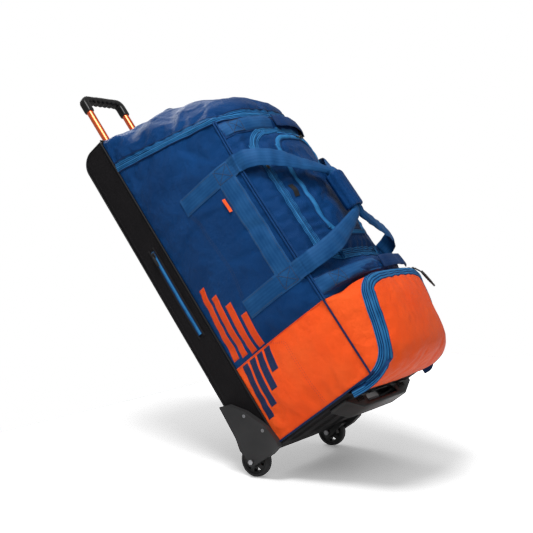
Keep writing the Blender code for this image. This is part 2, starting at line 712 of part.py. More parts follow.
# Sliders: on the side pocket, on the lid's pocket, on the boot pocket's door, on the lid and on the end cap.
outside = -HALF_WIDTH - 0.0025
make_slider("side_pocket_slider", (0.0520, outside, 0.6300), (0, -1, 0), (0, 0, 1))
make_pull("side_pocket_pull", (0.0520, outside - 0.0070, 0.6190), (0.0060, 0.0030, 0.0330), "rubber")
make_slider("lid_pocket_slider", (front_x(0.0) + 0.0168, 0.0400, 0.6820), (1, 0, 0), (0, 1, 0))
make_slider("boot_slider", (0.4900, 0.1250, 0.2500), (0, 0, 1), (0, 1, 0))
make_pull("boot_pull", (0.5350, 0.1250, 0.2040), (0.0045, 0.0120, 0.0420), "rubber")
make_slider("lid_slider", (front_x(0.1230) + 0.0006, -0.1290, 0.6400), (1, 0, 0), (0, 0, 1))
make_slider("cap_slider", (0.2600, HALF_WIDTH + 0.0006, zip_height(0.2600)), (0, 1, 0), (1, 0, 0))

# ---------------------------------------------------------------- move everything to the part's own origin
bpy.context.view_layer.update()
for collection in (parts, cutters):
    for piece in collection.objects:
        piece.location += ORIGIN_SHIFT
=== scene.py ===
import json
import math

import bmesh
import bpy
import numpy as np
from mathutils import Matrix, Vector, noise
from mathutils.bvhtree import BVHTree


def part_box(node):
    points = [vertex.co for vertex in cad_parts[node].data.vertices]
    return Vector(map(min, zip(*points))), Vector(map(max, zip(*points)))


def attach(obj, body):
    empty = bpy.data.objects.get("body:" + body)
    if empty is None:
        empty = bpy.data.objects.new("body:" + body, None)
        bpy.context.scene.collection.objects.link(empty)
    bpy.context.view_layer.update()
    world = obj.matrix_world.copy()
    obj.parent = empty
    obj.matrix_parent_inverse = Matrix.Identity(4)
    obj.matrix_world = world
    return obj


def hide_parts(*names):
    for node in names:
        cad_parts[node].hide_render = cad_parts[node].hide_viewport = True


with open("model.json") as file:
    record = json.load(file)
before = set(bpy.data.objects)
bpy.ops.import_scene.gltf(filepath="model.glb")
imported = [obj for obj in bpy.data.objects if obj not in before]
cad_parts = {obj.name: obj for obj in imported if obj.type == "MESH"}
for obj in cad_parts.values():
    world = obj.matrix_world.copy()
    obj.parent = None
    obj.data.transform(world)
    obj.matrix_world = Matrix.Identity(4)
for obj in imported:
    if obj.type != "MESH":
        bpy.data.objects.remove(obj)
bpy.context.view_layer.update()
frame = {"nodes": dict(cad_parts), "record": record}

# ---------------------------------------------------------------- sizes, from the frame
# Places are written as (x, y, z) in metres from the wheels' axle, on the ground; at() puts them in the frame.
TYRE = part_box("wheel_tyre_near")
AXLE = (TYRE[0].x + TYRE[1].x) / 2
WHEEL_RADIUS = (TYRE[1].z - TYRE[0].z) / 2
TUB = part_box("rear_tub")
TUB_DEPTH = TUB[1].x - AXLE
TUB_BOTTOM, TUB_TOP = TUB[0].z, TUB[1].z
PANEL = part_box("side_panel_near")
HALF_WIDTH = -PANEL[0].y
SEAM_X = PANEL[1].x - AXLE
COLOUR_LINE = PANEL[0].z
BASE_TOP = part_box("lower_side_panel_near")[0].z
CROWN_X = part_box("front_panel")[1].x - AXLE
ZIP_BACK = PANEL[1].z
ZIP_SLOPE = 0.29              # the end zip falls towards the front
CROWN_POWER = 2.6             # how square the front's crown is
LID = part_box("front_lid")
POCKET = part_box("lid_pocket")
LID_RADIUS, POCKET_RADIUS = 0.059, 0.035
WEBBING = 0.050
GRID = 0.0065                 # cloth grid
SIDES = (("near", -1), ("far", 1))


def at(x, y, z):
    return Vector((AXLE + x, y, z))


def smooth(low, high, value):
    share = min(1.0, max(0.0, (value - low) / (high - low)))
    return share * share * (3 - 2 * share)


def zip_height(x):
    return ZIP_BACK - (x - TUB_DEPTH) * ZIP_SLOPE


def rgb(red, green, blue):
    """Linear colour from the usual 0 to 255 values."""
    shares = [value / 255 for value in (red, green, blue)]
    return tuple(c / 12.92 if c <= 0.04 else ((c + 0.055) / 1.055) ** 2.4 for c in shares)


# ---------------------------------------------------------------- camera, floor and light
LEAN = math.radians(37.27)    # the bag leans back on its wheels in the studio
UPWARD = Vector((math.sin(LEAN), 0.0, math.cos(LEAN)))
WORLD_LIGHT = 0.36            # the room's light on the bag; the camera sees it as pure white
FLOOR_FAINTNESS = 0.14        # share of the floor's shadow that is let through
FLOOR_BACK, FLOOR_FRONT, FLOOR_HALF = -0.9, 3.0, 2.0


def make_camera():
    """Seen from the bag's own frame, the level camera is rolled and low."""
    right = Vector((0.67061, 0.53844, -0.51026)).normalized()
    up = Vector((0.57824, 0.05145, 0.81424))
    up = (up - right * up.dot(right)).normalized()
    turn = Matrix((right, up, right.cross(up))).transposed().to_4x4()
    camera = bpy.data.objects.new("camera", bpy.data.cameras.new("camera"))
    bpy.context.scene.collection.objects.link(camera)
    camera.data.lens = 67.54
    camera.data.sensor_width = 36.0
    camera.data.clip_start, camera.data.clip_end = 0.05, 60.0
    camera.matrix_world = Matrix.Translation(at(1.4524, -2.2502, -0.2695)) @ turn
    bpy.context.scene.camera = camera


def make_stage():
    """White room: a floor under the leaning bag's wheels that takes its shadow, and soft lights above."""
    scene = bpy.context.scene
    scene.view_settings.view_transform = "Standard"
    scene.world = bpy.data.worlds.new("studio")
    scene.world.use_nodes = True
    tree = scene.world.node_tree
    level = tree.nodes.new("ShaderNodeMapRange")
    level.inputs["To Min"].default_value = WORLD_LIGHT
    level.inputs["To Max"].default_value = 1.0
    seen = tree.nodes.new("ShaderNodeLightPath")
    tree.links.new(seen.outputs["Is Camera Ray"], level.inputs["Value"])
    tree.links.new(level.outputs["Result"], tree.nodes["Background"].inputs["Strength"])
    tree.nodes["Background"].inputs["Color"].default_value = (1.0, 1.0, 1.0, 1.0)
    contact = at(0.0, 0.0, WHEEL_RADIUS) - UPWARD * WHEEL_RADIUS
    along = Vector((UPWARD.z, 0.0, -UPWARD.x))
    places = [(FLOOR_BACK, -FLOOR_HALF), (FLOOR_FRONT, -FLOOR_HALF),
              (FLOOR_FRONT, FLOOR_HALF), (FLOOR_BACK, FLOOR_HALF)]
    mesh = bpy.data.meshes.new("floor")
    mesh.from_pydata([contact + along * u + Vector((0, v, 0)) for u, v in places], [], [(0, 1, 2, 3)])
    floor = bpy.data.objects.new("floor", mesh)
    scene.collection.objects.link(floor)
    floor.is_shadow_catcher = True
    pale = bpy.data.materials.new("floor_pale")
    pale.use_nodes = True
    pale.node_tree.nodes["Principled BSDF"].inputs["Base Color"].default_value = (0.9, 0.9, 0.9, 1.0)
    # Its shadow is faint and, seen from below, the tilted floor isn't there.
    nodes, links = pale.node_tree.nodes, pale.node_tree.links
    mix = nodes.new("ShaderNodeMixShader")
    faint = nodes.new("ShaderNodeMath")
    faint.inputs[1].default_value = FLOOR_FAINTNESS
    links.new(nodes.new("ShaderNodeNewGeometry").outputs["Backfacing"], faint.inputs[0])
    links.new(faint.outputs[0], mix.inputs[0])
    links.new(nodes["Principled BSDF"].outputs[0], mix.inputs[1])
    links.new(nodes.new("ShaderNodeBsdfTransparent").outputs[0], mix.inputs[2])
    links.new(mix.outputs[0], nodes["Material Output"].inputs["Surface"])
    mesh.materials.append(pale)
    middle = at(0.23, 0.0, 0.55)
    lights = (
        ("key", UPWARD * 1.9 + Vector((0.5, -1.1, 0.3)), 1.1, 64.0),
        ("fill", Vector((2.0, -1.9, 0.7)), 1.8, 20.0),
        ("rim", UPWARD * 1.2 + Vector((-1.5, 0.8, 0.9)), 1.4, 18.0),
    )
    for name, offset, size, power in lights:
        lamp = bpy.data.objects.new(name, bpy.data.lights.new(name, "AREA"))
        scene.collection.objects.link(lamp)
        lamp.data.shape = "DISK"
        lamp.data.size = size
        lamp.data.energy = power
        lamp.location = middle + offset
        lamp.rotation_mode = "QUATERNION"
        lamp.rotation_quaternion = offset.to_track_quat("Z", "Y")


make_camera()
make_stage()


# ---------------------------------------------------------------- materials
class Shader:
    """A Principled material and a short way to add nodes to it."""

    def __init__(self, name, roughness, metallic=0.0, specular=0.5):
        self.material = bpy.data.materials.new(name)
        self.material.use_nodes = True
        self.tree = self.material.node_tree
        self.main = self.tree.nodes["Principled BSDF"]
        self.main.inputs["Roughness"].default_value = roughness
        self.main.inputs["Metallic"].default_value = metallic
        self.main.inputs["Specular IOR Level"].default_value = specular
        self.place = self.add("ShaderNodeTexCoord").outputs["Object"]

    def add(self, kind, links=(), **settings):
        node = self.tree.nodes.new(kind)
        for key, value in settings.items():
            if hasattr(node, key):
                setattr(node, key, value)
            else:
                node.inputs[key.replace("_", " ").title()].default_value = value
        for socket, source in dict(links).items():
            self.tree.links.new(source, node.inputs[socket])
        return node

    def noise(self, scale, detail=3.0, place=None):
        found = self.add("ShaderNodeTexNoise", {"Vector": place or self.place})
        found.inputs["Scale"].default_value = scale
        found.inputs["Detail"].default_value = detail
        return found.outputs["Fac"]

    def wave(self, pitch, direction, place=None, distortion=0.0):
        """Ribs with this pitch in metres."""
        found = self.add("ShaderNodeTexWave", {"Vector": place or self.place}, bands_direction=direction)
        found.inputs["Scale"].default_value = math.pi / 10 / pitch
        found.inputs["Distortion"].default_value = distortion
        return found.outputs["Fac"]

    def maths(self, operation, first, second):
        found = self.add("ShaderNodeMath", operation=operation)
        for socket, value in zip(found.inputs, (first, second)):
            if isinstance(value, (int, float)):
                socket.default_value = value
            else:
                self.tree.links.new(value, socket)
        return found.outputs["Value"]

    def total(self, *terms):
        """The sum of (value, weight) terms."""
        scaled = [self.maths("MULTIPLY", value, weight) for value, weight in terms]
        result = scaled[0]
        for other in scaled[1:]:
            result = self.maths("ADD", result, other)
        return result

    def colour(self, share, *stops):
        """Colour ramp over share: stops are (position, linear colour)."""
        ramp = self.add("ShaderNodeValToRGB", {"Fac": share})
        while len(ramp.color_ramp.elements) < len(stops):
            ramp.color_ramp.elements.new(0.5)
        for element, (position, value) in zip(ramp.color_ramp.elements, stops):
            element.position = position
            element.color = (*value, 1.0)
        self.tree.links.new(ramp.outputs["Color"], self.main.inputs["Base Color"])
        return ramp.outputs["Color"]

    def worn(self, base, light, amount):
        """Edges a little lighter than the rest."""
        edge = self.add("ShaderNodeNewGeometry").outputs["Pointiness"]
        share = self.add("ShaderNodeMapRange", {"Value": edge})
        share.inputs["From Min"].default_value = 0.52
        share.inputs["From Max"].default_value = 0.62
        share.inputs["To Max"].default_value = amount
        mix = self.add("ShaderNodeMix", {"Factor": share.outputs["Result"]}, data_type="RGBA")
        self.tree.links.new(base, mix.inputs[6])
        mix.inputs[7].default_value = (*light, 1.0)
        self.tree.links.new(mix.outputs[2], self.main.inputs["Base Color"])

    def bump(self, height, strength, distance):
        found = self.add("ShaderNodeBump", {"Height": height})
        found.inputs["Strength"].default_value = strength
        found.inputs["Distance"].default_value = distance
        self.tree.links.new(found.outputs["Normal"], self.main.inputs["Normal"])

    def rough(self, share, low, high):
        found = self.add("ShaderNodeMapRange", {"Value": share})
        found.inputs["To Min"].default_value = low
        found.inputs["To Max"].default_value = high
        self.tree.links.new(found.outputs["Result"], self.main.inputs["Roughness"])

    def tint(self, colour):
        """Dyed cloth shines in its own colour."""
        top = max(colour)
        self.main.inputs["Specular Tint"].default_value = (*(0.15 + 0.85 * c / top for c in colour), 1.0)

    def sheen(self, weight, tint, roughness=0.35):
        self.main.inputs["Sheen Weight"].default_value = weight
        self.main.inputs["Sheen Roughness"].default_value = roughness
        self.main.inputs["Sheen Tint"].default_value = (*tint, 1.0)


LANE_PITCH = 0.0084           # the wide bands woven into webbing


def mixed(first, second, share):
    return tuple(a + (b - a) * share for a, b in zip(first, second))


def woven(name, dark, light, sheen, roughness=(0.36, 0.52), pitch=0.0011, specular=0.30):
    """Coated woven polyester: yarns both ways, cloudy colour, fine creases and a soft sheen."""
    shader = Shader(name, roughness[0], 0.0, specular)
    yarns = shader.maths("MULTIPLY", shader.wave(pitch, "DIAGONAL"), shader.wave(pitch, "Z", distortion=0.4))
    clouds = shader.total((shader.noise(9.0), 0.7), (yarns, 0.16))
    base = shader.colour(clouds, (0.22, dark), (0.50, mixed(dark, light, 0.5)), (0.72, light))
    shader.worn(base, mixed(light, (1, 1, 1), 0.03), 0.35)
    relief = shader.total((shader.noise(22.0, 4.0), 1.6), (shader.noise(75.0, 4.0), 0.5), (yarns, 0.12))
    shader.bump(relief, 0.8, 0.0060)
    shader.rough(shader.noise(24.0), *roughness)
    shader.tint(light)
    shader.sheen(sheen, light)
    return shader.material


def ribbed(name, dark, light, pitch=0.0022, sheen=0.10):
    """Webbing and zip tape: ribs across the width, which is the second texture axis, in metres."""
    shader = Shader(name, 0.5, 0.0, 0.25)
    sheet = shader.add("ShaderNodeUVMap", uv_map="UVMap").outputs["UV"]
    weave = shader.total((shader.wave(pitch, "Y", sheet), 0.6), (shader.wave(pitch * 0.8, "X", sheet, 0.6), 0.4))
    lanes = shader.wave(LANE_PITCH, "Y", sheet)
    clouds = shader.total((shader.noise(30.0), 0.5), (weave, 0.22), (lanes, 0.09))
    base = shader.colour(clouds, (0.25, dark), (0.65, light))
    shader.worn(base, mixed(light, (1, 1, 1), 0.02), 0.4)
    shader.bump(weave, 0.35, 0.0006)
    shader.rough(shader.noise(60.0), 0.45, 0.62)
    shader.tint(light)
    shader.sheen(sheen, light)
    return shader.material


def moulded(name, dark, light, roughness=(0.38, 0.55), grain=420.0, strength=0.12):
    """Moulded plastic or rubber with a fine spark-eroded grain and rubbed edges."""
    shader = Shader(name, roughness[0], 0.0, 0.3)
    base = shader.colour(shader.noise(14.0), (0.35, dark), (0.7, light))
    shader.worn(base, mixed(light, (1, 1, 1), 0.05), 0.5)
    shader.bump(shader.noise(grain, 2.0), strength, 0.0006)
    shader.rough(shader.noise(30.0), *roughness)
    return shader.material


def metal(name, dark, light, roughness=(0.22, 0.36), brushed="Z"):
    """Drawn or turned metal, with faint lines along one axis."""
    shader = Shader(name, roughness[0], 0.92)
    stretch = shader.add("ShaderNodeMapping", {"Vector": shader.place})
    stretch.inputs["Scale"].default_value = {"Z": (1, 1, 0.02), "Y": (1, 0.02, 1)}[brushed]
    lines = shader.noise(900.0, 2.0, stretch.outputs["Vector"])
    base = shader.colour(shader.total((lines, 0.4), (shader.noise(12.0), 0.6)), (0.3, dark), (0.7, light))
    shader.worn(base, mixed(light, (1, 1, 1), 0.4), 0.4)
    shader.bump(lines, 0.06, 0.0003)
    shader.rough(lines, *roughness)
    return shader.material


BLUE = woven("blue_polyester", rgb(5, 46, 92), rgb(16, 68, 124), 0.05)
NAVY = woven("navy_polyester", rgb(4, 28, 64), rgb(10, 44, 88), 0.05)
ORANGE = woven("orange_polyester", rgb(250, 84, 31), rgb(255, 105, 46), 0.04, specular=0.22)
BLACK = woven("black_polyester", rgb(9, 8, 9), rgb(17, 16, 17), 0.0, (0.5, 0.66), specular=0.14)
PRINT_ORANGE = woven("orange_print", rgb(226, 72, 26), rgb(240, 88, 34), 0.03)
PRINT_NAVY = woven("navy_print", rgb(26, 40, 74), rgb(40, 54, 90), 0.03)
LINING = woven("grey_lining", rgb(60, 62, 66), rgb(84, 86, 90), 0.05, (0.6, 0.75))
WEB = ribbed("blue_webbing", rgb(14, 58, 104), rgb(38, 86, 134))
NAVY_WEB = ribbed("navy_webbing", rgb(8, 38, 78), rgb(18, 56, 104))
TAPE = ribbed("zip_tape", rgb(5, 36, 74), rgb(14, 56, 104), 0.0016)
# The zip coil's own lighter blue. On the two-part zips it also goes on every ridge top as a painted highlight, with the
# darker tape as painted shade in the valleys.
COIL_AND_RIDGE_HIGHLIGHT = ribbed("zip_coil", rgb(22, 84, 136), rgb(54, 124, 176), 0.0016, 0.15)
BLACK_CORD = ribbed("black_cord", rgb(9, 9, 10), rgb(19, 19, 20), 0.0012, 0.02)
THREAD_BLUE = moulded("blue_thread", rgb(3, 20, 46), rgb(8, 32, 66), (0.5, 0.7))
THREAD_DARK = moulded("navy_thread", rgb(2, 20, 48), rgb(6, 32, 70), (0.5, 0.7))
THREAD_ORANGE = moulded("orange_thread", rgb(190, 44, 14), rgb(214, 60, 22), (0.5, 0.7))
HARD_GREY = moulded("grey_moulded_plastic", rgb(28, 28, 29), rgb(42, 42, 43))
HARD_BLACK = moulded("black_moulded_plastic", rgb(9, 9, 10), rgb(17, 17, 18), (0.3, 0.46))
GRIP_BLACK = moulded("grip_plastic", rgb(10, 10, 10), rgb(20, 20, 20), (0.26, 0.40), 600.0)
TYRE_BLACK = moulded("wheel_urethane", rgb(15, 15, 16), rgb(28, 28, 30), (0.42, 0.62), 260.0, 0.2)
SOFT_RUBBER = moulded("soft_rubber", rgb(16, 16, 17), rgb(27, 27, 28), (0.5, 0.7))
SHEET_PLASTIC = moulded("sheet_plastic", rgb(46, 46, 50), rgb(58, 58, 62))
ORANGE_METAL = metal("orange_anodised_metal", rgb(236, 78, 22), rgb(252, 112, 44))
RAW_METAL = metal("mill_metal", rgb(172, 172, 176), rgb(206, 206, 210))
STEEL = metal("plated_steel", rgb(120, 120, 122), rgb(160, 160, 164), (0.25, 0.4), "Y")


# ---------------------------------------------------------------- mesh helpers
def add(name, mesh, *materials):
    made = bpy.data.objects.new(name, mesh)
    bpy.context.scene.collection.objects.link(made)
    for material in materials:
        mesh.materials.append(material)
    mesh.shade_smooth()
    return made


def belongs(piece, body, slot, *nodes):
    """The piece rides on a body and stands for CAD nodes, which it hides. slot, its finish, is not used."""
    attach(piece, body)
    if nodes:
        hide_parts(*nodes)
    return piece


def grid(columns, rows, around=False, closed=False):
    """Faces over points laid row by row. With around a row closes on itself, with closed the last row meets the first."""
    wide = columns if around else columns + 1
    tall = rows if closed else rows + 1
    faces = []
    for j in range(rows):
        low, high = j * wide, (j + 1) % tall * wide
        faces += [(low + i, low + (i + 1) % wide, high + (i + 1) % wide, high + i) for i in range(columns)]
    return faces


def closed_mesh(name, points, faces, uvs=(), slots=(), merge=0.0):
    """A closed mesh with its faces turned out. uvs gives each face its corners, slots its material."""
    mesh = bpy.data.meshes.new(name)
    mesh.from_pydata(points, [], faces)
    if uvs:
        layer = mesh.uv_layers.new(name="UVMap")
        for spot, corner in enumerate(corner for face in uvs for corner in face):
            layer.data[spot].uv = corner
    for polygon, slot in zip(mesh.polygons, slots):
        polygon.material_index = slot
    cage = bmesh.new()
    cage.from_mesh(mesh)
    if merge:
        bmesh.ops.remove_doubles(cage, verts=cage.verts, dist=merge)
    bmesh.ops.recalc_face_normals(cage, faces=cage.faces)
    cage.to_mesh(mesh)
    cage.free()
    return mesh


def faced(mesh, outward):
    """Turns the faces so that their sum points outward."""
    total = Vector()
    for polygon in mesh.polygons:
        total += polygon.normal * polygon.area
    if total.dot(Vector(outward)) < 0:
        mesh.flip_normals()


def sheet(name, point, columns, rows, outward, *materials):
    """A grid of quads over point(u, v), u and v from 0 to 1."""
    points = [point(i / columns, j / rows) for j in range(rows + 1) for i in range(columns + 1)]
    mesh = bpy.data.meshes.new(name)
    mesh.from_pydata(points, [], grid(columns, rows))
    faced(mesh, outward)
    return add(name, mesh, *materials)


def rim_of(mesh):
    """The vertices on a mesh's open edges."""
    count = {}
    for polygon in mesh.polygons:
        for key in polygon.edge_keys:
            count[key] = count.get(key, 0) + 1
    return sorted({v for key, uses in count.items() if uses == 1 for v in key})


def settle(piece, pressure=1.2, grow=0.02, frames=14, limit=0.012, bending=0.8, also=()):
    """Cloth: the panel, cut a little too large and held at its seams, wrinkles as it fills."""
    mesh = piece.data
    start = [vertex.co.copy() for vertex in mesh.vertices]
    for index, place in enumerate(start):
        mesh.vertices[index].co = place + mesh.vertices[index].normal * 0.0012 * noise.noise(place * 38.0)
    held = rim_of(mesh) + list(also)
    for index in held:
        mesh.vertices[index].co = start[index]
    group = piece.vertex_groups.new(name="held")
    group.add(held, 1.0, "REPLACE")
    cloth = piece.modifiers.new("cloth", "CLOTH")
    settings = cloth.settings
    settings.quality = 5
    settings.mass = 0.25
    settings.tension_stiffness = 14.0
    settings.compression_stiffness = 14.0
    settings.shear_stiffness = 6.0
    settings.bending_stiffness = bending
    settings.vertex_group_mass = "held"
    settings.shrink_min = -grow
    settings.use_pressure = True
    settings.uniform_pressure_force = pressure
    settings.effector_weights.gravity = 0.0
    cloth.collision_settings.use_collision = False
    cloth.point_cache.frame_start = 1
    cloth.point_cache.frame_end = frames
    for step in range(1, frames + 1):
        bpy.context.scene.frame_set(step)
    evaluated = piece.evaluated_get(bpy.context.evaluated_depsgraph_get())
    settled = [vertex.co.copy() for vertex in evaluated.data.vertices]
    piece.modifiers.remove(cloth)
    for vertex, was, now in zip(mesh.vertices, start, settled):
        move = now - was
        if move.length > limit:
            move *= limit / move.length
        vertex.co = was + move
    bpy.context.scene.frame_set(1)
    return piece


def solidify(piece, thickness):
    """Gives a surface thickness, inwards."""
    solid = piece.modifiers.new("thick", "SOLIDIFY")
    solid.thickness = thickness
    solid.offset = -1.0
    return solid


def thicken(piece, thickness=0.0025):
    """Rounds a panel and gives it thickness and a lining."""
    rounder = piece.modifiers.new("round", "SUBSURF")
    rounder.levels = rounder.render_levels = 1
    rounder.boundary_smooth = "PRESERVE_CORNERS"
    solid = solidify(piece, thickness)
    solid.material_offset = 1
    solid.material_offset_rim = 0


def eased(line, passes, unit=False):
    """Draws a line's inner points towards their neighbours. Directions stay of unit length."""
    for _ in range(passes):
        sums = [a + b * 2 + c for a, b, c in zip(line, line[1:], line[2:])]
        line = [line[0]] + [total.normalized() if unit else total / 4 for total in sums] + [line[-1]]
    return line


def each_way(line, ways):
    """One way out holds for a whole line, or there is one for each point."""
    return [Vector(ways)] * len(line) if isinstance(ways[0], (int, float)) else ways


class Skin:
    """Surfaces that trims lie on."""

    def __init__(self, *pieces):
        graph = bpy.context.evaluated_depsgraph_get()
        self.trees = [BVHTree.FromObject(piece, graph) for piece in pieces]

    def under(self, place, outward, lift=0.0, reach=0.06):
        """The point of the skin in line with a place, and the way out of the skin there."""
        outward = Vector(outward).normalized()
        best, way = None, outward
        for tree in self.trees:
            hit, normal, _, distance = tree.ray_cast(place + outward * reach, -outward, 2 * reach)
            if hit is not None and (best is None or distance < best[1]):
                best = (hit, distance)
                way = normal if normal.dot(outward) > 0 else -normal
        if best is None:
            return place + outward * lift, outward
        return best[0] + way * lift, way

    def route(self, places, outwards, lift=0.0, passes=3):
        """A line over the skin, smoothed."""
        found = [self.under(place, way, lift) for place, way in zip(places, each_way(places, outwards))]
        return eased([place for place, _ in found], passes), eased([way for _, way in found], passes, True)


def spaced(points, gap, closed=False):
    """Even points along a smooth line through the given ones. A point may be a list of any numbers."""
    points = [np.array(p, float) for p in points]
    ends = (points[-1], points[0]) if closed else (2 * points[0] - points[1], 2 * points[-1] - points[-2])
    run = [ends[0], *points, ends[1]] + ([points[1]] if closed else [])
    fine = []
    for a, b, c, d in zip(run, run[1:], run[2:], run[3:]):
        for step in range(12):
            t = step / 12
            bend, twist = 2 * a - 5 * b + 4 * c - d, 3 * b - a - 3 * c + d
            fine.append(0.5 * (2 * b + (c - a) * t + bend * t * t + twist * t ** 3))
    fine.append(points[0] if closed else points[-1])
    fine = np.array(fine)
    travelled = np.concatenate([[0.0], np.cumsum(np.linalg.norm(np.diff(fine[:, :3], axis=0), axis=1))])
    count = max(2, round(travelled[-1] / gap))
    wanted = np.linspace(0, travelled[-1], count + 1)
    even = np.array([np.interp(wanted, travelled, fine[:, k]) for k in range(fine.shape[1])]).T
    return even[:-1] if closed else even


def frames_of(line, ways, closed=False):
    """At each point of a line: the step to the next one, the way out and the way across."""
    found = []
    for index, way in enumerate(each_way(line, ways)):
        before = line[index - 1] if index or closed else line[0]
        after = line[(index + 1) % len(line)] if index < len(line) - 1 or closed else line[-1]
        along = (after - before).normalized()
        out = (way - along * way.dot(along)).normalized()
        found.append(((after - line[index]).length, out, along.cross(out)))
    return found


def sweep(name, line, ways, profile, materials, bands=None, closed=False, scale=None, ripple=0.0,
          heights=None):
    """Carries a closed profile of (across, out) along a line. bands gives a material for each profile edge."""
    count, around = len(line), len(profile)
    points, lengths, total = [], [], 0.0
    for index, (step, out, across) in enumerate(frames_of(line, ways, closed)):
        grow = scale(index / (count - 1)) if scale else 1.0
        dip = ripple if index % 2 else 0.0
        for k, (u, v) in enumerate(profile):
            rise = heights[index, k] if heights is not None else 0.0
            points.append(line[index] + across * u * grow + out * (v * grow + rise - (dip if v > 0.0024 else 0.0)))
        lengths.append(total)
        total += step
    girth = [0.0]
    for (u0, v0), (u1, v1) in zip(profile, profile[1:] + profile[:1]):
        girth.append(girth[-1] + math.hypot(u1 - u0, v1 - v0))
    rows = count if closed else count - 1
    faces, uvs = grid(around, rows, True, closed), []
    for near, far in zip(lengths, (lengths + [total])[1:rows + 1]):
        uvs += [((near, a), (near, b), (far, b), (far, a)) for a, b in zip(girth, girth[1:])]
    slots = list(bands or [0] * around) * rows
    if not closed:
        for length, first, order in ((lengths[0], 0, 1), (lengths[-1], (count - 1) * around, -1)):
            faces.append([first + k for k in range(around)][::order])
            uvs.append([(length, u) for u, _ in profile][::order])
            slots.append(0)
    made = add(name, closed_mesh(name, points, faces, uvs, slots), *materials)
    made.data.set_sharp_from_angle(angle=math.radians(50))
    return made


def round_profile(radius, sides=8, flat=0.0):
    """A cord's or piping's section, with its lowest part let into the cloth by flat."""
    turns = [2 * math.pi * k / sides for k in range(sides)]
    return [(radius * math.cos(a), radius * math.sin(a) + radius - flat) for a in turns]


def band_profile(width, thickness):
    """Webbing's section, thinner at its edges."""
    half, edge = width / 2, thickness * 0.5
    return [(-half, 0.0), (half, 0.0), (half, edge), (half - 0.002, thickness), (half * 0.4, thickness * 1.15),
            (-half * 0.4, thickness * 1.15), (2 * 0.001 - half, thickness), (-half, edge)]


def zip_profile(width, coil=0.0065):
    """Zip: two tapes with raised edges and a ribbed coil in the middle. Its bands mark the coil."""
    half, c = width / 2, coil / 2
    profile = [(-half, 0.0), (half, 0.0), (half, 0.0014), (half - 0.0012, 0.0022), (half - 0.0026, 0.0014),
               (c + 0.0012, 0.0013), (c, 0.0030), (c * 0.5, 0.0040), (0.0, 0.0034), (-c * 0.5, 0.0040), (-c, 0.0030),
               (-c - 0.0012, 0.0013), (0.0026 - half, 0.0014), (0.0012 - half, 0.0022), (-half, 0.0014)]
    bands = [1 if 5 <= k <= 10 else 0 for k in range(len(profile))]
    return profile, bands


THREAD_STEP = 0.0011          # stitches start and end on a line divided this finely


def stitches(name, line, ways, material, length=0.0042, gap=0.0022, width=0.0011, proud=0.0007):
    """Short thread stitches, let into the cloth at their ends."""
    even = spaced([list(p) + list(w) for p, w in zip(line, ways)], THREAD_STEP)
    period, dash = round((length + gap) / THREAD_STEP), round(length / THREAD_STEP)
    points, faces = [], []
    for start in range(0, len(even) - dash, period):
        first = len(points)
        for share, size in ((0.0, 0.35), (0.25, 1.0), (0.75, 1.0), (1.0, 0.35)):
            row = even[start + round(share * dash)]
            place, way = Vector(row[:3]), Vector(row[3:6]).normalized()
            along = Vector(even[start + dash][:3]) - Vector(even[start][:3])
            across = along.cross(way).normalized() * width / 2 * size
            top, sunk = way * proud * size, way * 0.0004
            points += [place + v for v in (across - sunk, across * 0.5 + top, -across * 0.5 + top, -across - sunk)]
        faces += [tuple(first + k for k in face) for face in grid(4, 3, True)]
        faces += [(first, first + 1, first + 2, first + 3), (first + 15, first + 14, first + 13, first + 12)]
    return add(name, closed_mesh(name, points, faces), material)


def joined(name, pieces):
    """One object from several, keeping their materials."""
    with bpy.context.temp_override(active_object=pieces[0], selected_editable_objects=pieces):
        bpy.ops.object.join()
    pieces[0].name = name
    return pieces[0]


# ---------------------------------------------------------------- the body's shape
SHELL_RADIUS = 0.018          # the cap's softened edges
JOIN = 0.0003                 # the panels stop this far from the tub
TUB_ROUND = 0.045             # its rear top corner, seen from the side


def shoulder(z):
    return 0.016 * smooth(0.60, 0.82, z)


def corner_y(z):
    """Half the width at the front seam."""
    return HALF_WIDTH - shoulder(z)


def ridge(x, z, fold):
    """Height of a soft fold running between two points of a panel."""
    x0, z0, x1, z1, height, width = fold
    along_x, along_z = x1 - x0, z1 - z0
    share = ((x - x0) * along_x + (z - z0) * along_z) / (along_x ** 2 + along_z ** 2)
    held = min(1.0, max(0.0, share))
    gap = math.hypot(x - x0 - along_x * held, z - z0 - along_z * held)
    return height * math.exp(-(gap / width) ** 2) * math.sin(math.pi * min(1.0, max(0.0, 0.1 + 0.8 * held)))


SIDE_FOLDS = (
    (0.236, 0.731, 0.387, 0.666, 0.0050, 0.016), (0.286, 0.796, 0.348, 0.710, -0.0050, 0.014),
    (0.298, 0.712, 0.355, 0.670, -0.0045, 0.012), (0.216, 0.637, 0.320, 0.593, 0.0035, 0.013),
    (0.268, 0.447, 0.316, 0.398, 0.0030, 0.012), (0.120, 0.790, 0.240, 0.770, 0.0030, 0.018),
    (0.110, 0.560, 0.190, 0.500, 0.0022, 0.020), (0.330, 0.520, 0.395, 0.470, -0.0030, 0.012),
)


def hump(share):
    """Rises from 0 to 1 and falls again as share goes from 0 to 1."""
    return max(0.0, math.sin(math.pi * min(1.0, max(0.0, share))))


def side_y(x, z, swell=0.010):
    """How far a side panel stands from the middle."""
    across = (x - TUB_DEPTH) / (SEAM_X - TUB_DEPTH)
    up = (z - BASE_TOP) / (zip_height(x) - BASE_TOP)
    fade = hump(across) * hump(up) ** 0.6
    folds = sum(ridge(x, z, fold) for fold in SIDE_FOLDS)
    return HALF_WIDTH - shoulder(z) * across ** 2 + swell * fade + folds * min(1.0, 3 * fade)


def front_at(share, z, proud=0.0):
    """The crowned front, share -1 to 1 from the near seam to the far one."""
    y = share * corner_y(z)
    x = SEAM_X + (CROWN_X - SEAM_X) * (1 - abs(share) ** CROWN_POWER) + proud
    return at(x, y, z)


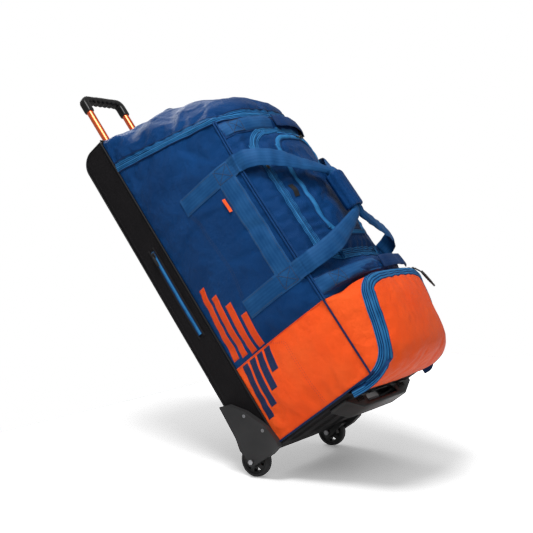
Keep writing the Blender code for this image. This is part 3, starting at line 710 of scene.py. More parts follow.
def front_top(share):
    """Height of the end zip at this share of the front."""
    z = zip_height(CROWN_X)
    for _ in range(4):
        z = zip_height(front_at(share, z).x - AXLE)
    return z


def side_sheet(name, sign, low, high, *materials):
    """A side panel from height low to high, or to the end zip where high is None."""
    back = TUB_DEPTH + JOIN

    def point(u, v):
        x = back + (SEAM_X - back) * u
        z = low + ((high or zip_height(x)) - low) * v
        return at(x, sign * side_y(x, z), z)

    tall = (high or zip_height(0.25)) - low
    return sheet(name, point, round((SEAM_X - TUB_DEPTH) / GRID), round(tall / GRID), (0, sign, 0), *materials)


def round_half(z, low, high, half, radius):
    """Half the width of a rounded rectangle at height z."""
    edge = max(0.0, min(z - low, high - z))
    if edge >= radius:
        return half
    return half - radius + math.sqrt(max(0.0, radius ** 2 - (radius - edge) ** 2))


def outline(low, high, half, radius):
    """Rounded rectangle as (y, z) points. It starts at the top of the far edge and runs over the near one."""
    points = []
    for side, edge, start in ((1, high, 0), (-1, high, 90), (-1, low, 180), (1, low, 270)):
        centre = (side * (half - radius), edge - radius if edge == high else edge + radius)
        for step in range(9):
            angle = math.radians(start + 90 * step / 8)
            points.append((centre[0] + radius * math.cos(angle), centre[1] + radius * math.sin(angle)))
    return points


def spaced_2d(points, gap=0.001):
    """Even points along a closed (y, z) outline."""
    return [tuple(row[:2]) for row in spaced([(y, z, 0.0) for y, z in points], gap, True)]


def front_from(y, z, proud=0.0):
    """The crowned front at a place across it in metres."""
    return front_at(y / corner_y(z), z, proud)


# ---------------------------------------------------------------- the fabric panels
panels = {}
for side, sign in SIDES:
    for name, low, high, cloth, slot in (("side_panel_", COLOUR_LINE, None, BLUE, "blue_fabric"),
                                         ("lower_side_panel_", BASE_TOP, COLOUR_LINE, ORANGE, "orange_fabric")):
        piece = side_sheet(f"{name}{side}_fabric", sign, low, high, cloth, LINING)
        panels[piece.name] = belongs(piece, "bag", slot, name + side)

# The lid's opening: its low and high edge, half its width and its corner radius.

HOLE = (LID[0].z, LID[1].z, LID[1].y + 0.0012, LID_RADIUS + 0.001)


def front_swell(y, z):
    """The strips beside the lid stand proud, and the cloth hangs over and, more, under it."""
    strip = 0.009 * math.exp(-((abs(y) - 0.170) / 0.017) ** 2)
    brow = 0.006 * math.exp(-((z - 0.760) / 0.016) ** 2)
    brow += 0.034 * math.exp(-((z - 0.276) / 0.026) ** 2) * smooth(COLOUR_LINE, COLOUR_LINE + 0.016, z)
    return strip * smooth(0.25, 0.30, z) * (1 - smooth(0.74, 0.80, z)) + brow * (1 - (abs(y) / HALF_WIDTH) ** 3)


def make_front_panel():
    def point(u, v):
        share = 2 * u - 1
        z = COLOUR_LINE + (front_top(share) - COLOUR_LINE) * v
        return front_at(share, z, front_swell(share * corner_y(z), z))

    piece = sheet("front_panel_fabric", point, round(0.44 / GRID), round(0.54 / GRID), (1, 0, 0), BLUE, LINING)
    low, high, half, _ = HOLE
    cage = bmesh.new()
    cage.from_mesh(piece.data)
    middles = [(face, face.calc_center_median()) for face in cage.faces]
    inside = [face for face, spot in middles if low < spot.z < high and abs(spot.y) < round_half(spot.z, *HOLE)]
    bmesh.ops.delete(cage, geom=inside, context="FACES")
    # The opening's edge is drawn onto its outline.
    ring = [Vector((0, y, z)) for y, z in spaced_2d(outline(*HOLE))]
    for vertex in cage.verts:
        if vertex.is_boundary and low - 0.02 < vertex.co.z < high + 0.02 and abs(vertex.co.y) < half + 0.02:
            flat = Vector((0, vertex.co.y, vertex.co.z))
            best = min(ring, key=lambda place: (place - flat).length_squared)
            vertex.co = front_from(best.y, best.z)
    cage.to_mesh(piece.data)
    cage.free()
    return belongs(piece, "bag", "blue_fabric", "front_panel")


panels["front"] = make_front_panel()


def lid_swell(y, z):
    """The lid is puffed, and gathered along its zip."""
    low, high, *_ = HOLE
    edge = min(z - low, high - z, round_half(z, *HOLE) - abs(y))
    band = math.exp(-((edge - 0.024) / 0.015) ** 2)
    if abs(y) > 0.08:
        gather = 0.0032 * math.sin(z * 205 + 2.4 * math.sin(z * 31))
    else:
        gather = 0.0022 * math.sin(y * 190 + 1.3 * math.sin(y * 41))
    return 0.009 * smooth(0.0, 0.030, edge) + gather * band


def row_sheet(name, edges, columns, rows, lift, node):
    """A rounded rectangle of blue cloth on the lid, row by row."""
    low, high, *_ = edges

    def point(u, v):
        z = low + (high - low) * v
        y = (2 * u - 1) * round_half(z, *edges)
        return front_from(y, z, lift(y, z))

    return belongs(sheet(name, point, columns, rows, (1, 0, 0), BLUE, LINING), "lid", "blue_fabric", node)


LID_EDGES = (HOLE[0] + 0.001, HOLE[1] - 0.001, HOLE[2] - 0.001, HOLE[3])
panels["lid"] = row_sheet("front_lid_fabric", LID_EDGES, 46, 62, lid_swell, "front_lid")
P_LOW, P_HIGH, P_HALF = POCKET[0].z, POCKET[1].z, POCKET[1].y - 0.012
POCKET_EDGES = (P_LOW, P_HIGH, P_HALF, POCKET_RADIUS)


def pocket_swell(y, z):
    """The pocket has a round edge and lies nearly flat inside it."""
    edge = min(z - P_LOW, P_HIGH - z, round_half(z, *POCKET_EDGES) - abs(y))
    rounded = math.sqrt(max(0.0, 1 - (1 - min(1.0, edge / 0.018)) ** 2))
    return 0.006 + 0.013 * rounded - 0.0015 * math.sin(z * 90) * smooth(0.02, 0.05, edge)


panels["pocket"] = row_sheet("lid_pocket_fabric", POCKET_EDGES, 40, 62, pocket_swell, "lid_pocket")

# The end cap's middle line, from the tub to the front.

CAP_LINE = spaced(
    [(0.0903, 0.983, 0), (0.150, 0.981, 0), (0.210, 0.972, 0), (0.290, 0.942, 0), (0.355, 0.908, 0),
     (0.400, 0.882, 0), (0.438, 0.849, 0), (0.458, 0.817, 0), (CROWN_X, zip_height(CROWN_X), 0)], 0.001,
)

def arch(share):
    """Section of the end cap, share 0 to 1 from the near zip, over the top, to the far one, as y and z shares."""
    tall = TUB_TOP - ZIP_BACK
    straight, turn, flat = tall - SHELL_RADIUS, SHELL_RADIUS * math.pi / 2, HALF_WIDTH - SHELL_RADIUS
    total = straight + turn + flat
    side = -1 if share < 0.5 else 1
    run = total * (1 - abs(2 * share - 1))
    if run <= straight:
        y, z = HALF_WIDTH, run
    elif run <= straight + turn:
        angle = (run - straight) / SHELL_RADIUS
        y, z = HALF_WIDTH - SHELL_RADIUS * (1 - math.cos(angle)), straight + SHELL_RADIUS * math.sin(angle)
    else:
        y, z = HALF_WIDTH - SHELL_RADIUS - (run - straight - turn), tall
    return side * y / HALF_WIDTH, z / tall


def along_row(rows, share):
    """The point at a share of a line's points."""
    spot = share * (len(rows) - 1)
    index = min(len(rows) - 2, int(spot))
    return rows[index] + (rows[index + 1] - rows[index]) * (spot - index)


def cap_point(u, v):
    line = along_row(CAP_LINE, v)
    forward = (line[0] - TUB_DEPTH) / (CROWN_X - TUB_DEPTH)
    lift = max(0.0, line[1] - zip_height(line[0]))
    share, rise = arch(u)
    softer = 1 - 0.16 * smooth(0.1, 0.9, forward) * rise * abs(share) ** 3
    width = HALF_WIDTH - (HALF_WIDTH - corner_y(zip_height(SEAM_X))) * forward ** 2
    y = share * width * softer
    edge = SEAM_X + (CROWN_X - SEAM_X) * (1 - abs(share) ** CROWN_POWER)
    x = TUB_DEPTH + JOIN + forward * (edge - TUB_DEPTH - JOIN)
    # The top falls away towards the far and near edges, where nothing holds it up.
    droop = 1 - (0.50 if share < 0 else 0.20) * abs(share) ** 2.8 * smooth(0.0, 0.28, forward)
    z = zip_height(x) + lift * rise * droop
    wave = 0.004 * math.sin(x * 70 + y * 22 + 2 * math.sin(y * 26)) * rise * math.sin(math.pi * min(1.0, forward))
    return at(x, y, z + wave)


panels["cap"] = belongs(
    sheet("top_cap_fabric", cap_point, 84, 66, (0.3, 0, 1), BLUE, LINING), "end_cap", "blue_fabric", "top_cap"
)

# The boot pocket's zip line: from the fold, up the near side and to the middle of the top.
BOOT_EDGE = spaced([
    (0.336, -0.1985, 0.034), (0.372, -0.198, 0.031), (0.408, -0.193, 0.035), (0.436, -0.182, 0.050),
    (0.455, -0.172, 0.078), (0.469, -0.165, 0.124), (0.482, -0.162, 0.175), (0.492, -0.154, 0.218),
    (0.502, -0.128, 0.240), (0.507, -0.080, 0.2455), (0.508, 0.0, 0.2465),
], 0.002)
CORNER_SHARE = 0.62           # the share of it that is the near side


def boot_line(share):
    """The zip line at 0, the near end of the fold, to 2, the far one."""
    mirror = share > 1
    x, y, z = along_row(BOOT_EDGE, 2 - share if mirror else share)
    if mirror:
        # The far lower corner is pressed in.
        low = smooth(0.345, 0.41, x) * (1 - smooth(0.08, 0.18, z))
        return Vector((x - 0.020 * low, -y, z + 0.026 * low))
    return Vector((x, y, z))


DOOR_MIDDLE = spaced(
    [(0.336, 0.028, 0), (0.400, 0.020, 0), (0.442, 0.025, 0), (0.472, 0.040, 0), (0.492, 0.066, 0),
     (0.508, 0.120, 0), (0.514, 0.180, 0), (0.514, 0.220, 0), (0.508, 0.2465, 0)], 0.001,
)


def door_point(u, v):
    """Rows run across between the near and far zip; columns run from the fold to the top."""
    share = 2 * u - 1
    near = boot_line(v * CORNER_SHARE)
    row = int(v * (len(DOOR_MIDDLE) - 1))
    middle = DOOR_MIDDLE[row]
    # The rows near the top end on the zip's upper run, not on its sides.
    crown = 1 - abs(share) ** 2.4
    x = near.x + (middle[0] - near.x) * crown
    z = near.z + (middle[1] - near.z) * crown
    top = boot_line(CORNER_SHARE + (1 - CORNER_SHARE) * (1 - abs(share)))
    blend = smooth(0.80, 1.0, v)
    x += (top.x - x) * blend
    z += (top.z - z) * blend
    y = share * (-near.y)
    if share:
        y += (math.copysign(-top.y, share) - y) * blend
    return at(x, y, z)


panels["door"] = belongs(
    sheet("boot_pocket_door_fabric", door_point, 54, 62, (1, 0, 0), ORANGE, LINING), "boot_door", "orange_fabric",
    "boot_pocket_door",
)


def frame_outer(share):
    """The gusset's sewn edge: up the near seam, along the colour line, down the far seam."""
    mirror = share > 1
    run = 2 - share if mirror else share
    if run < 0.5:
        point = (SEAM_X, -corner_y(0.1), BASE_TOP + (COLOUR_LINE - BASE_TOP) * run / 0.5)
    else:
        across = (run - 0.5) / 0.5 - 1
        place = front_at(across, COLOUR_LINE)
        point = (place.x - AXLE, place.y, COLOUR_LINE)
    return Vector((point[0], -point[1] if mirror else point[1], point[2]))


def frame_point(u, v):
    """u runs along the gusset, v from its sewn edge to the zip."""
    outer = frame_outer(2 * u)
    run = min(2 * u, 2 - 2 * u)
    inner = boot_line(0.16 + 0.84 * run if u <= 0.5 else 2 - (0.16 + 0.84 * run))
    place = outer + (inner - outer) * v
    swell = 0.005 * math.sin(math.pi * v) * smooth(0.0, 0.12, run)
    pleat = 0.0025 * math.sin(2 * u * 60) * math.sin(math.pi * v) * smooth(0.5, 0.7, run)
    upper = smooth(0.40, 0.62, run)
    out = Vector((0.3, math.copysign(0.8, place.y) * (1 - upper), 0.4 + 0.6 * upper))
    return at(*(place + out.normalized() * (swell + pleat)))


panels["frame"] = belongs(
    sheet("boot_pocket_gusset_fabric", frame_point, 150, 12, (0, 0, 1), ORANGE, LINING), "bag", "orange_fabric",
    "boot_pocket_frame",
)

# For each panel the cloth's pressure and growth, and how deep its creases are.
SETTLE = {
    "lid": (1.4, 0.030), "pocket": (1.2, 0.020), "cap": (0.9, 0.026), "door": (0.9, 0.014),
    "frame": (0.6, 0.015), "front": (0.8, 0.022),
}
CREASES = {"cap": 0.0042, "front": 0.0042, "lid": 0.0036, "pocket": 0.0040, "door": 0.0010, "frame": 0.0018}


def crease(piece, amount):
    """Sharp little folds that wander over the cloth, away from its edges."""
    cage = bmesh.new()
    cage.from_mesh(piece.data)
    cage.normal_update()
    moves = []
    for vertex in cage.verts:
        if vertex.is_boundary:
            continue
        place = vertex.co * 5.0
        drift = [noise.noise(place * 1.7 + Vector(shift)) for shift in ((0, 0, 0), (5, 0, 0), (0, 9, 0))]
        bent = place + Vector(drift) * 0.8
        line = max(0.0, 1 - 3.2 * abs(noise.noise(bent * Vector((1.5, 1.5, 2.6))))) ** 2
        fine = max(0.0, 1 - 3.0 * abs(noise.noise(bent * Vector((4.2, 3.4, 3.1))))) ** 2
        held = 0.5 + 0.5 * noise.noise(place * 0.9 + Vector((3, 3, 3)))
        moves.append((vertex, vertex.normal * amount * (line * held - 0.45 * fine * (1 - held))))
    for vertex, move in moves:
        vertex.co += move
    cage.to_mesh(piece.data)
    cage.free()


for name, piece in panels.items():
    pressure, grow = SETTLE.get(name, (0.9, 0.016))
    settle(piece, pressure, grow)
    crease(piece, CREASES.get(name, 0.0016))
    thicken(piece)


# ---------------------------------------------------------------- lines and trims laid on the panels
def lay(name, skin, line, ways, profile, materials, bands=None, closed=False, ripple=0.0, lift=0.0,
        passes=3):
    """Like sweep, but every column of the profile follows the skin under it."""
    heights = np.zeros((len(line), len(profile)))
    for index, (_, out, across) in enumerate(frames_of(line, ways, closed)):
        for k, (u, _) in enumerate(profile):
            place = line[index] + across * u
            heights[index, k] = (skin.under(place, out, lift, 0.035)[0] - place).dot(out)
    for _ in range(passes):
        before, after = (heights[-1:], heights[:1]) if closed else (heights[:1], heights[-1:])
        padded = np.concatenate([before, heights, after])
        heights = (padded[:-2] + 2 * padded[1:-1] + padded[2:]) / 4
    return sweep(name, line, ways, profile, materials, bands, closed, None, ripple, heights)


def trim(name, skin, line, ways, profile, material, slot, body="bag", lift=0.0):
    """A trim of one material, laid on a skin, or carried straight along the line where skin is None."""
    if skin:
        made = lay(name, skin, line, ways, profile, (material,), lift=lift)
    else:
        made = sweep(name, line, ways, profile, (material,))
    return belongs(made, body, slot)


def sewn(name, skin, line, ways, thread, slot, *size, passes=1):
    """A row of stitches over the skin."""
    route, out = skin.route(line, ways, 0.0, passes)
    return belongs(stitches(name, route, out, thread, *size), "bag", slot)


# Half of a zip's section, from its middle: share of the width, height, and whether the edge to the next point takes the
# lighter coil colour (1), on the coil and, as a painted highlight, on the tops of the cloth tubes beside it, or the
# darker tape colour (0), painted shade in the valleys between them.
HALF_ZIP = (
    (0.004, -0.0012, 0), (0.5, -0.0008, 0), (0.5, 0.0012, 0), (0.475, 0.0025, 1), (0.420, 0.0030, 1), (0.360, 0.0022, 0),
    (0.345, 0.0022, 0), (0.300, 0.0036, 1), (0.235, 0.0040, 1), (0.180, 0.0028, 0), (0.150, 0.0042, 1),
    (0.080, 0.0050, 1), (0.004, 0.0042, 0),
)


TEETH = 0.0005                # how far every other row of a zip's coil sinks


def zip_pair(name, skin, line, ways, width, left_body, right_body, passes=3):
    """Both halves of a zip, each on its own body."""
    profile = [(width * u, v) for u, v, _ in HALF_ZIP]
    bands = [band for _, _, band in HALF_ZIP]
    mirrored = [(-u, v) for u, v in reversed(profile)]
    for half, body, section, marks in (("left", left_body, mirrored, bands[::-1]),
                                       ("right", right_body, profile, bands)):
        piece = lay(f"{name}_{half}_tape", skin, line, ways, section, (TAPE, COIL_AND_RIDGE_HIGHLIGHT), marks, ripple=TEETH, passes=passes)
        belongs(piece, body, "zip_blue")


def line_of(points, gap):
    return [at(*row) for row in spaced(points, gap)]


SIDE_SKIN = {}
for side, _ in SIDES:
    SIDE_SKIN[side] = Skin(panels[f"side_panel_{side}_fabric"], panels[f"lower_side_panel_{side}_fabric"])
FRONT_SKIN = Skin(panels["front"], panels["lid"])
LID_SKIN = Skin(panels["lid"], panels["pocket"])
ALL_SKIN = Skin(*panels.values())


def end_zip_line(gap=0.0018):
    """From the near back corner, round the front, to the far back corner."""
    points = []
    for step in range(11):
        x = TUB_DEPTH + 0.003 + (SEAM_X - 0.016 - TUB_DEPTH) * step / 10
        points.append((x, -side_y(x, zip_height(x) - 0.002, 0.0), zip_height(x)))
    for step in range(1, 20):
        share = -1 + step / 10
        place = front_at(share, front_top(share))
        points.append((place.x - AXLE, place.y, place.z))
    points += [(x, -y, z) for x, y, z in reversed(points[:11])]
    line = line_of(points, gap)
    ways = []
    for place in line:
        slope = abs(place.y) / corner_y(place.z)
        turn = smooth(0.80, 1.0, slope) if place.x - AXLE > SEAM_X - 0.03 else 1.0
        ways.append(Vector((1 - turn * 0.99, math.copysign(turn, place.y), 0.12)).normalized())
    return line, eased(ways, 6, True)


line, ways = end_zip_line()
zip_pair("end_zip", ALL_SKIN, line, ways, 0.026, "end_cap", "bag")
for edge, body, offset in (("upper", "end_cap", 0.0142), ("lower", "bag", -0.0142)):
    shifted = [place + Vector((0, 0, offset)) for place in line[::3]]
    trim(f"end_zip_{edge}_piping", ALL_SKIN, shifted, ways[::3], round_profile(0.0022, 8, 0.0006), NAVY, "blue_fabric", body)


def facing_front(place, turn):
    """The way out of the front, turned towards the sides by turn at the seams."""
    return Vector((1, turn * place.y / HALF_WIDTH, 0)).normalized()


# The lid's zip runs over the top, down the near side and along the bottom; the far edge is its fold.
low, high, half, radius = HOLE
edge_points = spaced_2d(outline(*HOLE), 0.004)
start = max(range(len(edge_points)), key=lambda k: (edge_points[k][0] > half - 0.002) * edge_points[k][1])
ring = edge_points[start:] + edge_points[:start]
zip_run = [(y, z) for y, z in ring if not (y > half - 0.001 and low + radius < z < high - radius)]
line = [Vector(row) for row in spaced([tuple(front_from(y, z, 0.001)) for y, z in zip_run], 0.0018)]
zip_pair("lid_zip", FRONT_SKIN, line, [facing_front(place, 0.60) for place in line], 0.025, "lid", "bag")
line = [front_from(half, z, 0.001) for z in np.linspace(low + radius, high - radius, 61)]
trim("lid_fold_piping", FRONT_SKIN, line, (1, 0.4, 0), round_profile(0.0035, 10, 0.001), NAVY, "blue_fabric")

# Zip round the lid's pocket, with a whole section because both its tapes are on the lid.
BESIDE_POCKET = 0.006
edges = (P_LOW - BESIDE_POCKET, P_HIGH + BESIDE_POCKET, P_HALF + BESIDE_POCKET, POCKET_RADIUS + BESIDE_POCKET)
line = [front_from(y, z, 0.004) for y, z in spaced_2d(outline(*edges), 0.002)]
profile, bands = zip_profile(0.019, 0.0100)
ways = [facing_front(place, 0.50) for place in line]
belongs(lay("lid_pocket_zip", LID_SKIN, line, ways, profile, (TAPE, COIL_AND_RIDGE_HIGHLIGHT), bands, True, TEETH), "lid", "zip_blue")

# Boot pocket's zip.
boot_zip, ways = [], []
for row in spaced([tuple(boot_line(k / 60)) for k in range(121)], 0.0018):
    boot_zip.append(at(*row))
    upper = smooth(0.205, 0.243, row[2])
    outward = math.copysign(1 - upper, row[1]) if abs(row[1]) > 0.02 else 0
    ways.append(Vector((0.25 + 0.5 * upper, outward, 0.15 + 0.9 * upper)).normalized())
boot_skin = Skin(panels["door"], panels["frame"])
zip_pair("boot_zip", boot_skin, boot_zip, eased(ways, 10, True), 0.027, "bag", "boot_door", 24)

# Piping on the seams.
for side, sign in SIDES:
    seam = [at(SEAM_X + 0.001, sign * (corner_y(z) + 0.0005), z)
            for z in np.linspace(COLOUR_LINE, zip_height(SEAM_X) - 0.010, 90)]
    for k, offset in enumerate((-0.0028, 0.0030)):
        moved = [place + Vector((offset, -sign * offset * 0.35, 0)) for place in seam]
        section = round_profile(0.0027, 8, 0.0012)
        trim(f"front_seam_piping_{side}_{k + 1}", None, moved, (0.55, sign * 0.83, 0), section, BLUE, "blue_fabric")
    low_seam = [at(SEAM_X, sign * (corner_y(z) + 0.0002), z) for z in np.linspace(BASE_TOP, COLOUR_LINE, 30)]
    foot = [at(x, sign * (HALF_WIDTH + 0.0004), BASE_TOP + 0.001)
            for x in np.linspace(TUB_DEPTH + 0.004, SEAM_X + 0.012, 60)]
    section = round_profile(0.0026, 8, 0.001)
    trim("gusset_piping_" + side, None, low_seam, (0.5, sign * 0.85, 0), section, NAVY, "blue_fabric")
    trim("bottom_piping_" + side, None, foot, (0, sign, -0.5), section, NAVY, "blue_fabric")
    colour = [at(x, sign * (side_y(x, COLOUR_LINE, 0.0) + 0.0002), COLOUR_LINE)
              for x in np.linspace(TUB_DEPTH + 0.003, SEAM_X, 70)]
    trim("colour_seam_" + side, SIDE_SKIN[side], colour, (0, sign, 0), round_profile(0.0009, 6, 0.0003), ORANGE,
         "orange_fabric")


# ---------------------------------------------------------------- webbing, straps and handles
WEB_STITCH = (0.0050, 0.0012, 0.0015)            # length, gap and width of a stitch
BOX_STITCH = (0.0044, 0.0008, 0.0019, 0.0008)    # and how proud it is
BAND_X = 0.360                                   # middle of the upright webbing
LEG_HEIGHTS = (("upper", 0.658, 0.217), ("lower", 0.345, 0.222))    # of the handles' sewn legs, and rear ends


def webbing(name, skin, line, ways, width, material, thickness=0.0021, lift=0.0006, nodes=()):
    """Flat webbing on the bag, thinner at its edges."""
    columns = 9
    top = [(width * (k / (columns - 1) - 0.5), thickness * (1.0 if 0 < k < columns - 1 else 0.55))
           for k in range(columns)]
    bottom = [(u, -0.0012) for u, _ in reversed(top)]
    made = lay(name, skin, line, ways, top + bottom, (material,), lift=lift, passes=4)
    return belongs(made, "bag", "webbing", *nodes)


def box_stitch(name, skin, centre, size, out, right):
    """The square with a cross that sews webbing down."""
    out, right = Vector(out).normalized(), Vector(right).normalized()
    up = out.cross(right)
    a = size / 2
    corners = [(-a, -a), (a, -a), (a, a), (-a, a)]
    runs = [(corners[k], corners[(k + 1) % 4]) for k in range(4)]
    runs += [(corners[0], corners[2]), (corners[1], corners[3])]
    pieces = []
    for k, (first, second) in enumerate(runs):
        steps = max(4, round(math.dist(first, second) / 0.003))
        spots = [Vector(first).lerp(Vector(second), s / steps) for s in range(steps + 1)]
        line, ways = skin.route([centre + right * spot.x + up * spot.y for spot in spots], out, 0.0001, 1)
        pieces.append(stitches(f"{name}_{k}", line, ways, THREAD_BLUE, *BOX_STITCH))
    return belongs(joined(name, pieces), "bag", "webbing")


for side, sign in SIDES:
    out = (0, sign, 0)
    bands = []
    for place, height, left in LEG_HEIGHTS:
        line = [at(x, sign * side_y(x, height, 0.0), height) for x in np.linspace(left, 0.392, 40)]
        bands.append(webbing(f"handle_leg_{place}_{side}", SIDE_SKIN[side], line, out, WEBBING, WEB,
                             nodes=("handle_anchor_" + side,) if place == "upper" else ()))
    line = [at(BAND_X, sign * side_y(BAND_X, z, 0.0), z) for z in np.linspace(0.330, 0.675, 80)]
    bands.append(webbing("handle_band_" + side, SIDE_SKIN[side], line, (0.05, sign, 0), WEBBING, WEB, lift=0.0))
    web_skin = Skin(*bands)
    for place, height, _ in LEG_HEIGHTS:
        middle = at(BAND_X, sign * HALF_WIDTH, height)
        box_stitch(f"box_stitch_{place}_{side}", web_skin, middle, 0.040, out, (1, 0, 0))
        for edge, offset in (("lower", -0.0215), ("upper", 0.0215)):
            line = [at(x, sign * HALF_WIDTH, height + offset) for x in np.linspace(0.224, 0.334, 44)]
            sewn(f"leg_stitch_{place}_{side}_{edge}", web_skin, line, out, THREAD_BLUE, "webbing", *WEB_STITCH)
    for edge, offset in (("rear", -0.0215), ("front", 0.0215)):
        line = [at(BAND_X + offset, sign * HALF_WIDTH, z) for z in np.linspace(0.375, 0.628, 90)]
        sewn(f"band_stitch_{side}_{edge}", web_skin, line, out, THREAD_BLUE, "webbing", *WEB_STITCH)


def strap(name, height, near_end, far_end, proud):
    """A strap over the front: its base, the patch that sews it down at the near end, and its free tail."""
    shares = np.linspace(-0.985, 0.97, 110)
    line = [front_at(s, height) for s in shares]
    ways = [Vector((1, 1.6 * math.copysign(abs(s) ** 2.2, s), 0)).normalized() for s in shares]
    base = webbing(name + "_base", Skin(panels["front"]), line, ways, 0.046, NAVY_WEB, nodes=(name,))
    base_skin = Skin(base)
    patch = [(place, way) for place, way in zip(line, ways) if place.y < near_end]
    sewn_line, sewn_ways = [place for place, _ in patch], [way for _, way in patch]
    skin = Skin(webbing(name + "_patch", base_skin, sewn_line, sewn_ways, 0.048, WEB, 0.0022, 0.0))
    over = [(place, way) for place, way in zip(line, ways) if near_end + 0.006 < place.y < far_end][::3]
    loose, loose_ways = [], []
    for k, (place, way) in enumerate(over):
        # The free strap is doubled over and not quite flat.
        share = k / (len(over) - 1)
        lift = 0.0035 + 0.004 * math.sin(math.pi * share) + proud * smooth(0.35, 1.0, share)
        loose.append(base_skin.under(place, way, 0.0, 0.06)[0] + way * lift)
        loose_ways.append((way + Vector((0, 0, 0.10 * math.sin(3 * k / len(over))))).normalized())
    trim(name + "_tail", None, loose, loose_ways, band_profile(0.036, 0.0030), NAVY_WEB, "webbing")
    box_stitch(name + "_box_stitch", skin, front_from(-0.150, height), 0.036, (1, -0.62, 0), (0.53, 0.85, 0))
    for edge, offset in (("lower", -0.0205), ("upper", 0.0205)):
        moved = [place + Vector((0, 0, offset)) for place in sewn_line]
        sewn(f"{name}_stitch_{edge}", skin, moved, sewn_ways, THREAD_BLUE, "webbing", *WEB_STITCH)


strap("upper_strap", 0.756, -0.030, 0.150, 0.0)
strap("lower_strap", 0.284, -0.020, 0.125, 0.014)


def bar_frame(name, bars, half_width, half_height, material):
    """A flat moulded frame of bars with chamfered edges."""
    section = ((-1, -0.6), (-0.6, -1), (0.6, -1), (1, -0.6), (1, 0.6), (0.6, 1), (-0.6, 1), (-1, 0.6))
    profile = [(u * half_width, v * half_height) for u, v in section]
    pieces = []
    for k, (start, end) in enumerate(bars):
        line = [start + (end - start) * s for s in np.linspace(0, 1, 8)]
        pieces.append(sweep(f"{name}_{k}", line, (1, 0, 0), profile, (material,)))
    return joined(name, pieces)


def on_front(y, z):
    """A place a little out from the front's cloth."""
    return FRONT_SKIN.under(front_from(y, z), (1, 0.7, 0), 0.0050, 0.05)[0]


for name in ("upper_strap", "lower_strap"):
    low_box, high_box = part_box(name + "_buckle")
    inset = Vector((0, 0.004, 0.004))
    (_, y0, z0), (_, y1, z1) = low_box + inset, high_box - inset
    bars = [(on_front(y, z0), on_front(y, z1)) for y in (y0, y1, (y0 + y1) / 2)]
    bars += [(on_front(y0 - 0.003, z), on_front(y1 + 0.003, z)) for z in (z0, z1)]
    bars.append((on_front(y0 + 0.010, z0), on_front(y0 + 0.010, z1)))
    buckle = bar_frame(name + "_ladder_buckle", bars, 0.0042, 0.0030, HARD_BLACK)
    belongs(buckle, "bag", "black_plastic", name + "_buckle")

# The carry handles: flat legs that fold to a core inside the wrap.
LEG, CORE = (0.0245, 0.0013), (0.0100, 0.0105)
UPPER_LEG = (
    (0.386, 0.2045, 0.658), (0.412, 0.207, 0.656), (0.441, 0.199, 0.648), (0.466, 0.170, 0.634),
    (0.486, 0.130, 0.614), (0.500, 0.085, 0.590), (0.511, 0.045, 0.570), (0.516, 0.018, 0.556),
)
LOWER_LEG = (
    (0.516, 0.018, 0.420), (0.510, 0.045, 0.404), (0.498, 0.085, 0.384), (0.484, 0.130, 0.364),
    (0.464, 0.170, 0.352), (0.440, 0.199, 0.346), (0.412, 0.207, 0.345), (0.386, 0.2045, 0.345),
)


def handle_rows(side):
    """Centre, half width, half thickness and width's direction along the handle. The far one hangs more loosely."""
    rows = []
    loose = side == "far"

    def leg_row(point, share, up):
        sizes = [flat + (core - flat) * share for flat, core in zip(LEG, CORE)]
        rows.append([*point, *sizes, 0, share, up])

    for step, (x, y, z) in enumerate(UPPER_LEG):
        share = max(0.0, (step - 4) / 4)
        leg_row((x - 0.018 * loose * math.sin(math.pi * step / 7), y, z), share, 1 - share)
    for z in (0.540, 0.488, 0.436):
        rows.append([0.5185, 0.0105, z, *CORE, 0, 1, 0])
    for step, (x, y, z) in enumerate(LOWER_LEG):
        hang = loose * math.sin(math.pi * (step / 7) ** 1.7)
        share = max(0.0, (3 - step) / 4)
        leg_row((x + 0.024 * hang, y, z + 0.016 * hang), share, share - 1)
    return spaced(rows, 0.005)


def carry_handle(side, sign):
    rows = handle_rows(side)
    count, columns = len(rows), 9
    around = 2 * columns - 2
    centres = [at(r[0], sign * r[1], r[2]) for r in rows]
    points, lengths = [], [0.0]
    for index, row in enumerate(rows):
        along = (centres[min(count - 1, index + 1)] - centres[max(0, index - 1)]).normalized()
        width = Vector((row[5], -sign * row[6], row[7]))
        width = (width - along * width.dot(along)).normalized()
        across = along.cross(width)
        if across.x < 0:
            across.negate()
        # The edges curl in as the webbing folds, and the flat legs belly out between their ends.
        folded = max(0.0, min(1.0, (row[4] - LEG[1]) / (CORE[1] - LEG[1])))
        crease = 0.0010 * math.sin(index * 0.9) * (1 - folded)
        top, bottom = [], []
        for k in range(columns):
            u = 2 * k / (columns - 1) - 1
            lift = row[4] * math.sqrt(max(0.0, 1 - abs(u) ** (6 if folded < 0.5 else 2.6)))
            middle = crease - 0.0030 * (u * u) * (1 - folded)
            edge = centres[index] + width * (u * row[3])
            top.append(edge + across * (lift + middle))
            bottom.append(edge + across * (middle - lift))
        points += top + bottom[-2:0:-1]
        if index:
            lengths.append(lengths[-1] + (centres[index] - centres[index - 1]).length)
    faces = grid(around, count - 1, True)
    stripes = [WEBBING * k / (columns - 1) for k in range(around + 1)]
    uvs = [((near, a), (near, b), (far, b), (far, a))
           for near, far in zip(lengths, lengths[1:]) for a, b in zip(stripes, stripes[1:])]
    faces += [range(around), range(count * around - 1, (count - 1) * around - 1, -1)]
    uvs += [[(0, 0)] * around] * 2
    mesh = closed_mesh("carry_handle", points, faces, uvs)
    piece = add(f"carry_handle_{side}_webbing", mesh, WEB)
    mesh.set_sharp_from_angle(angle=math.radians(60))
    return belongs(piece, side + "_handle", "webbing", "carry_handle_" + side)


for side, sign in SIDES:
    carry_handle(side, sign)


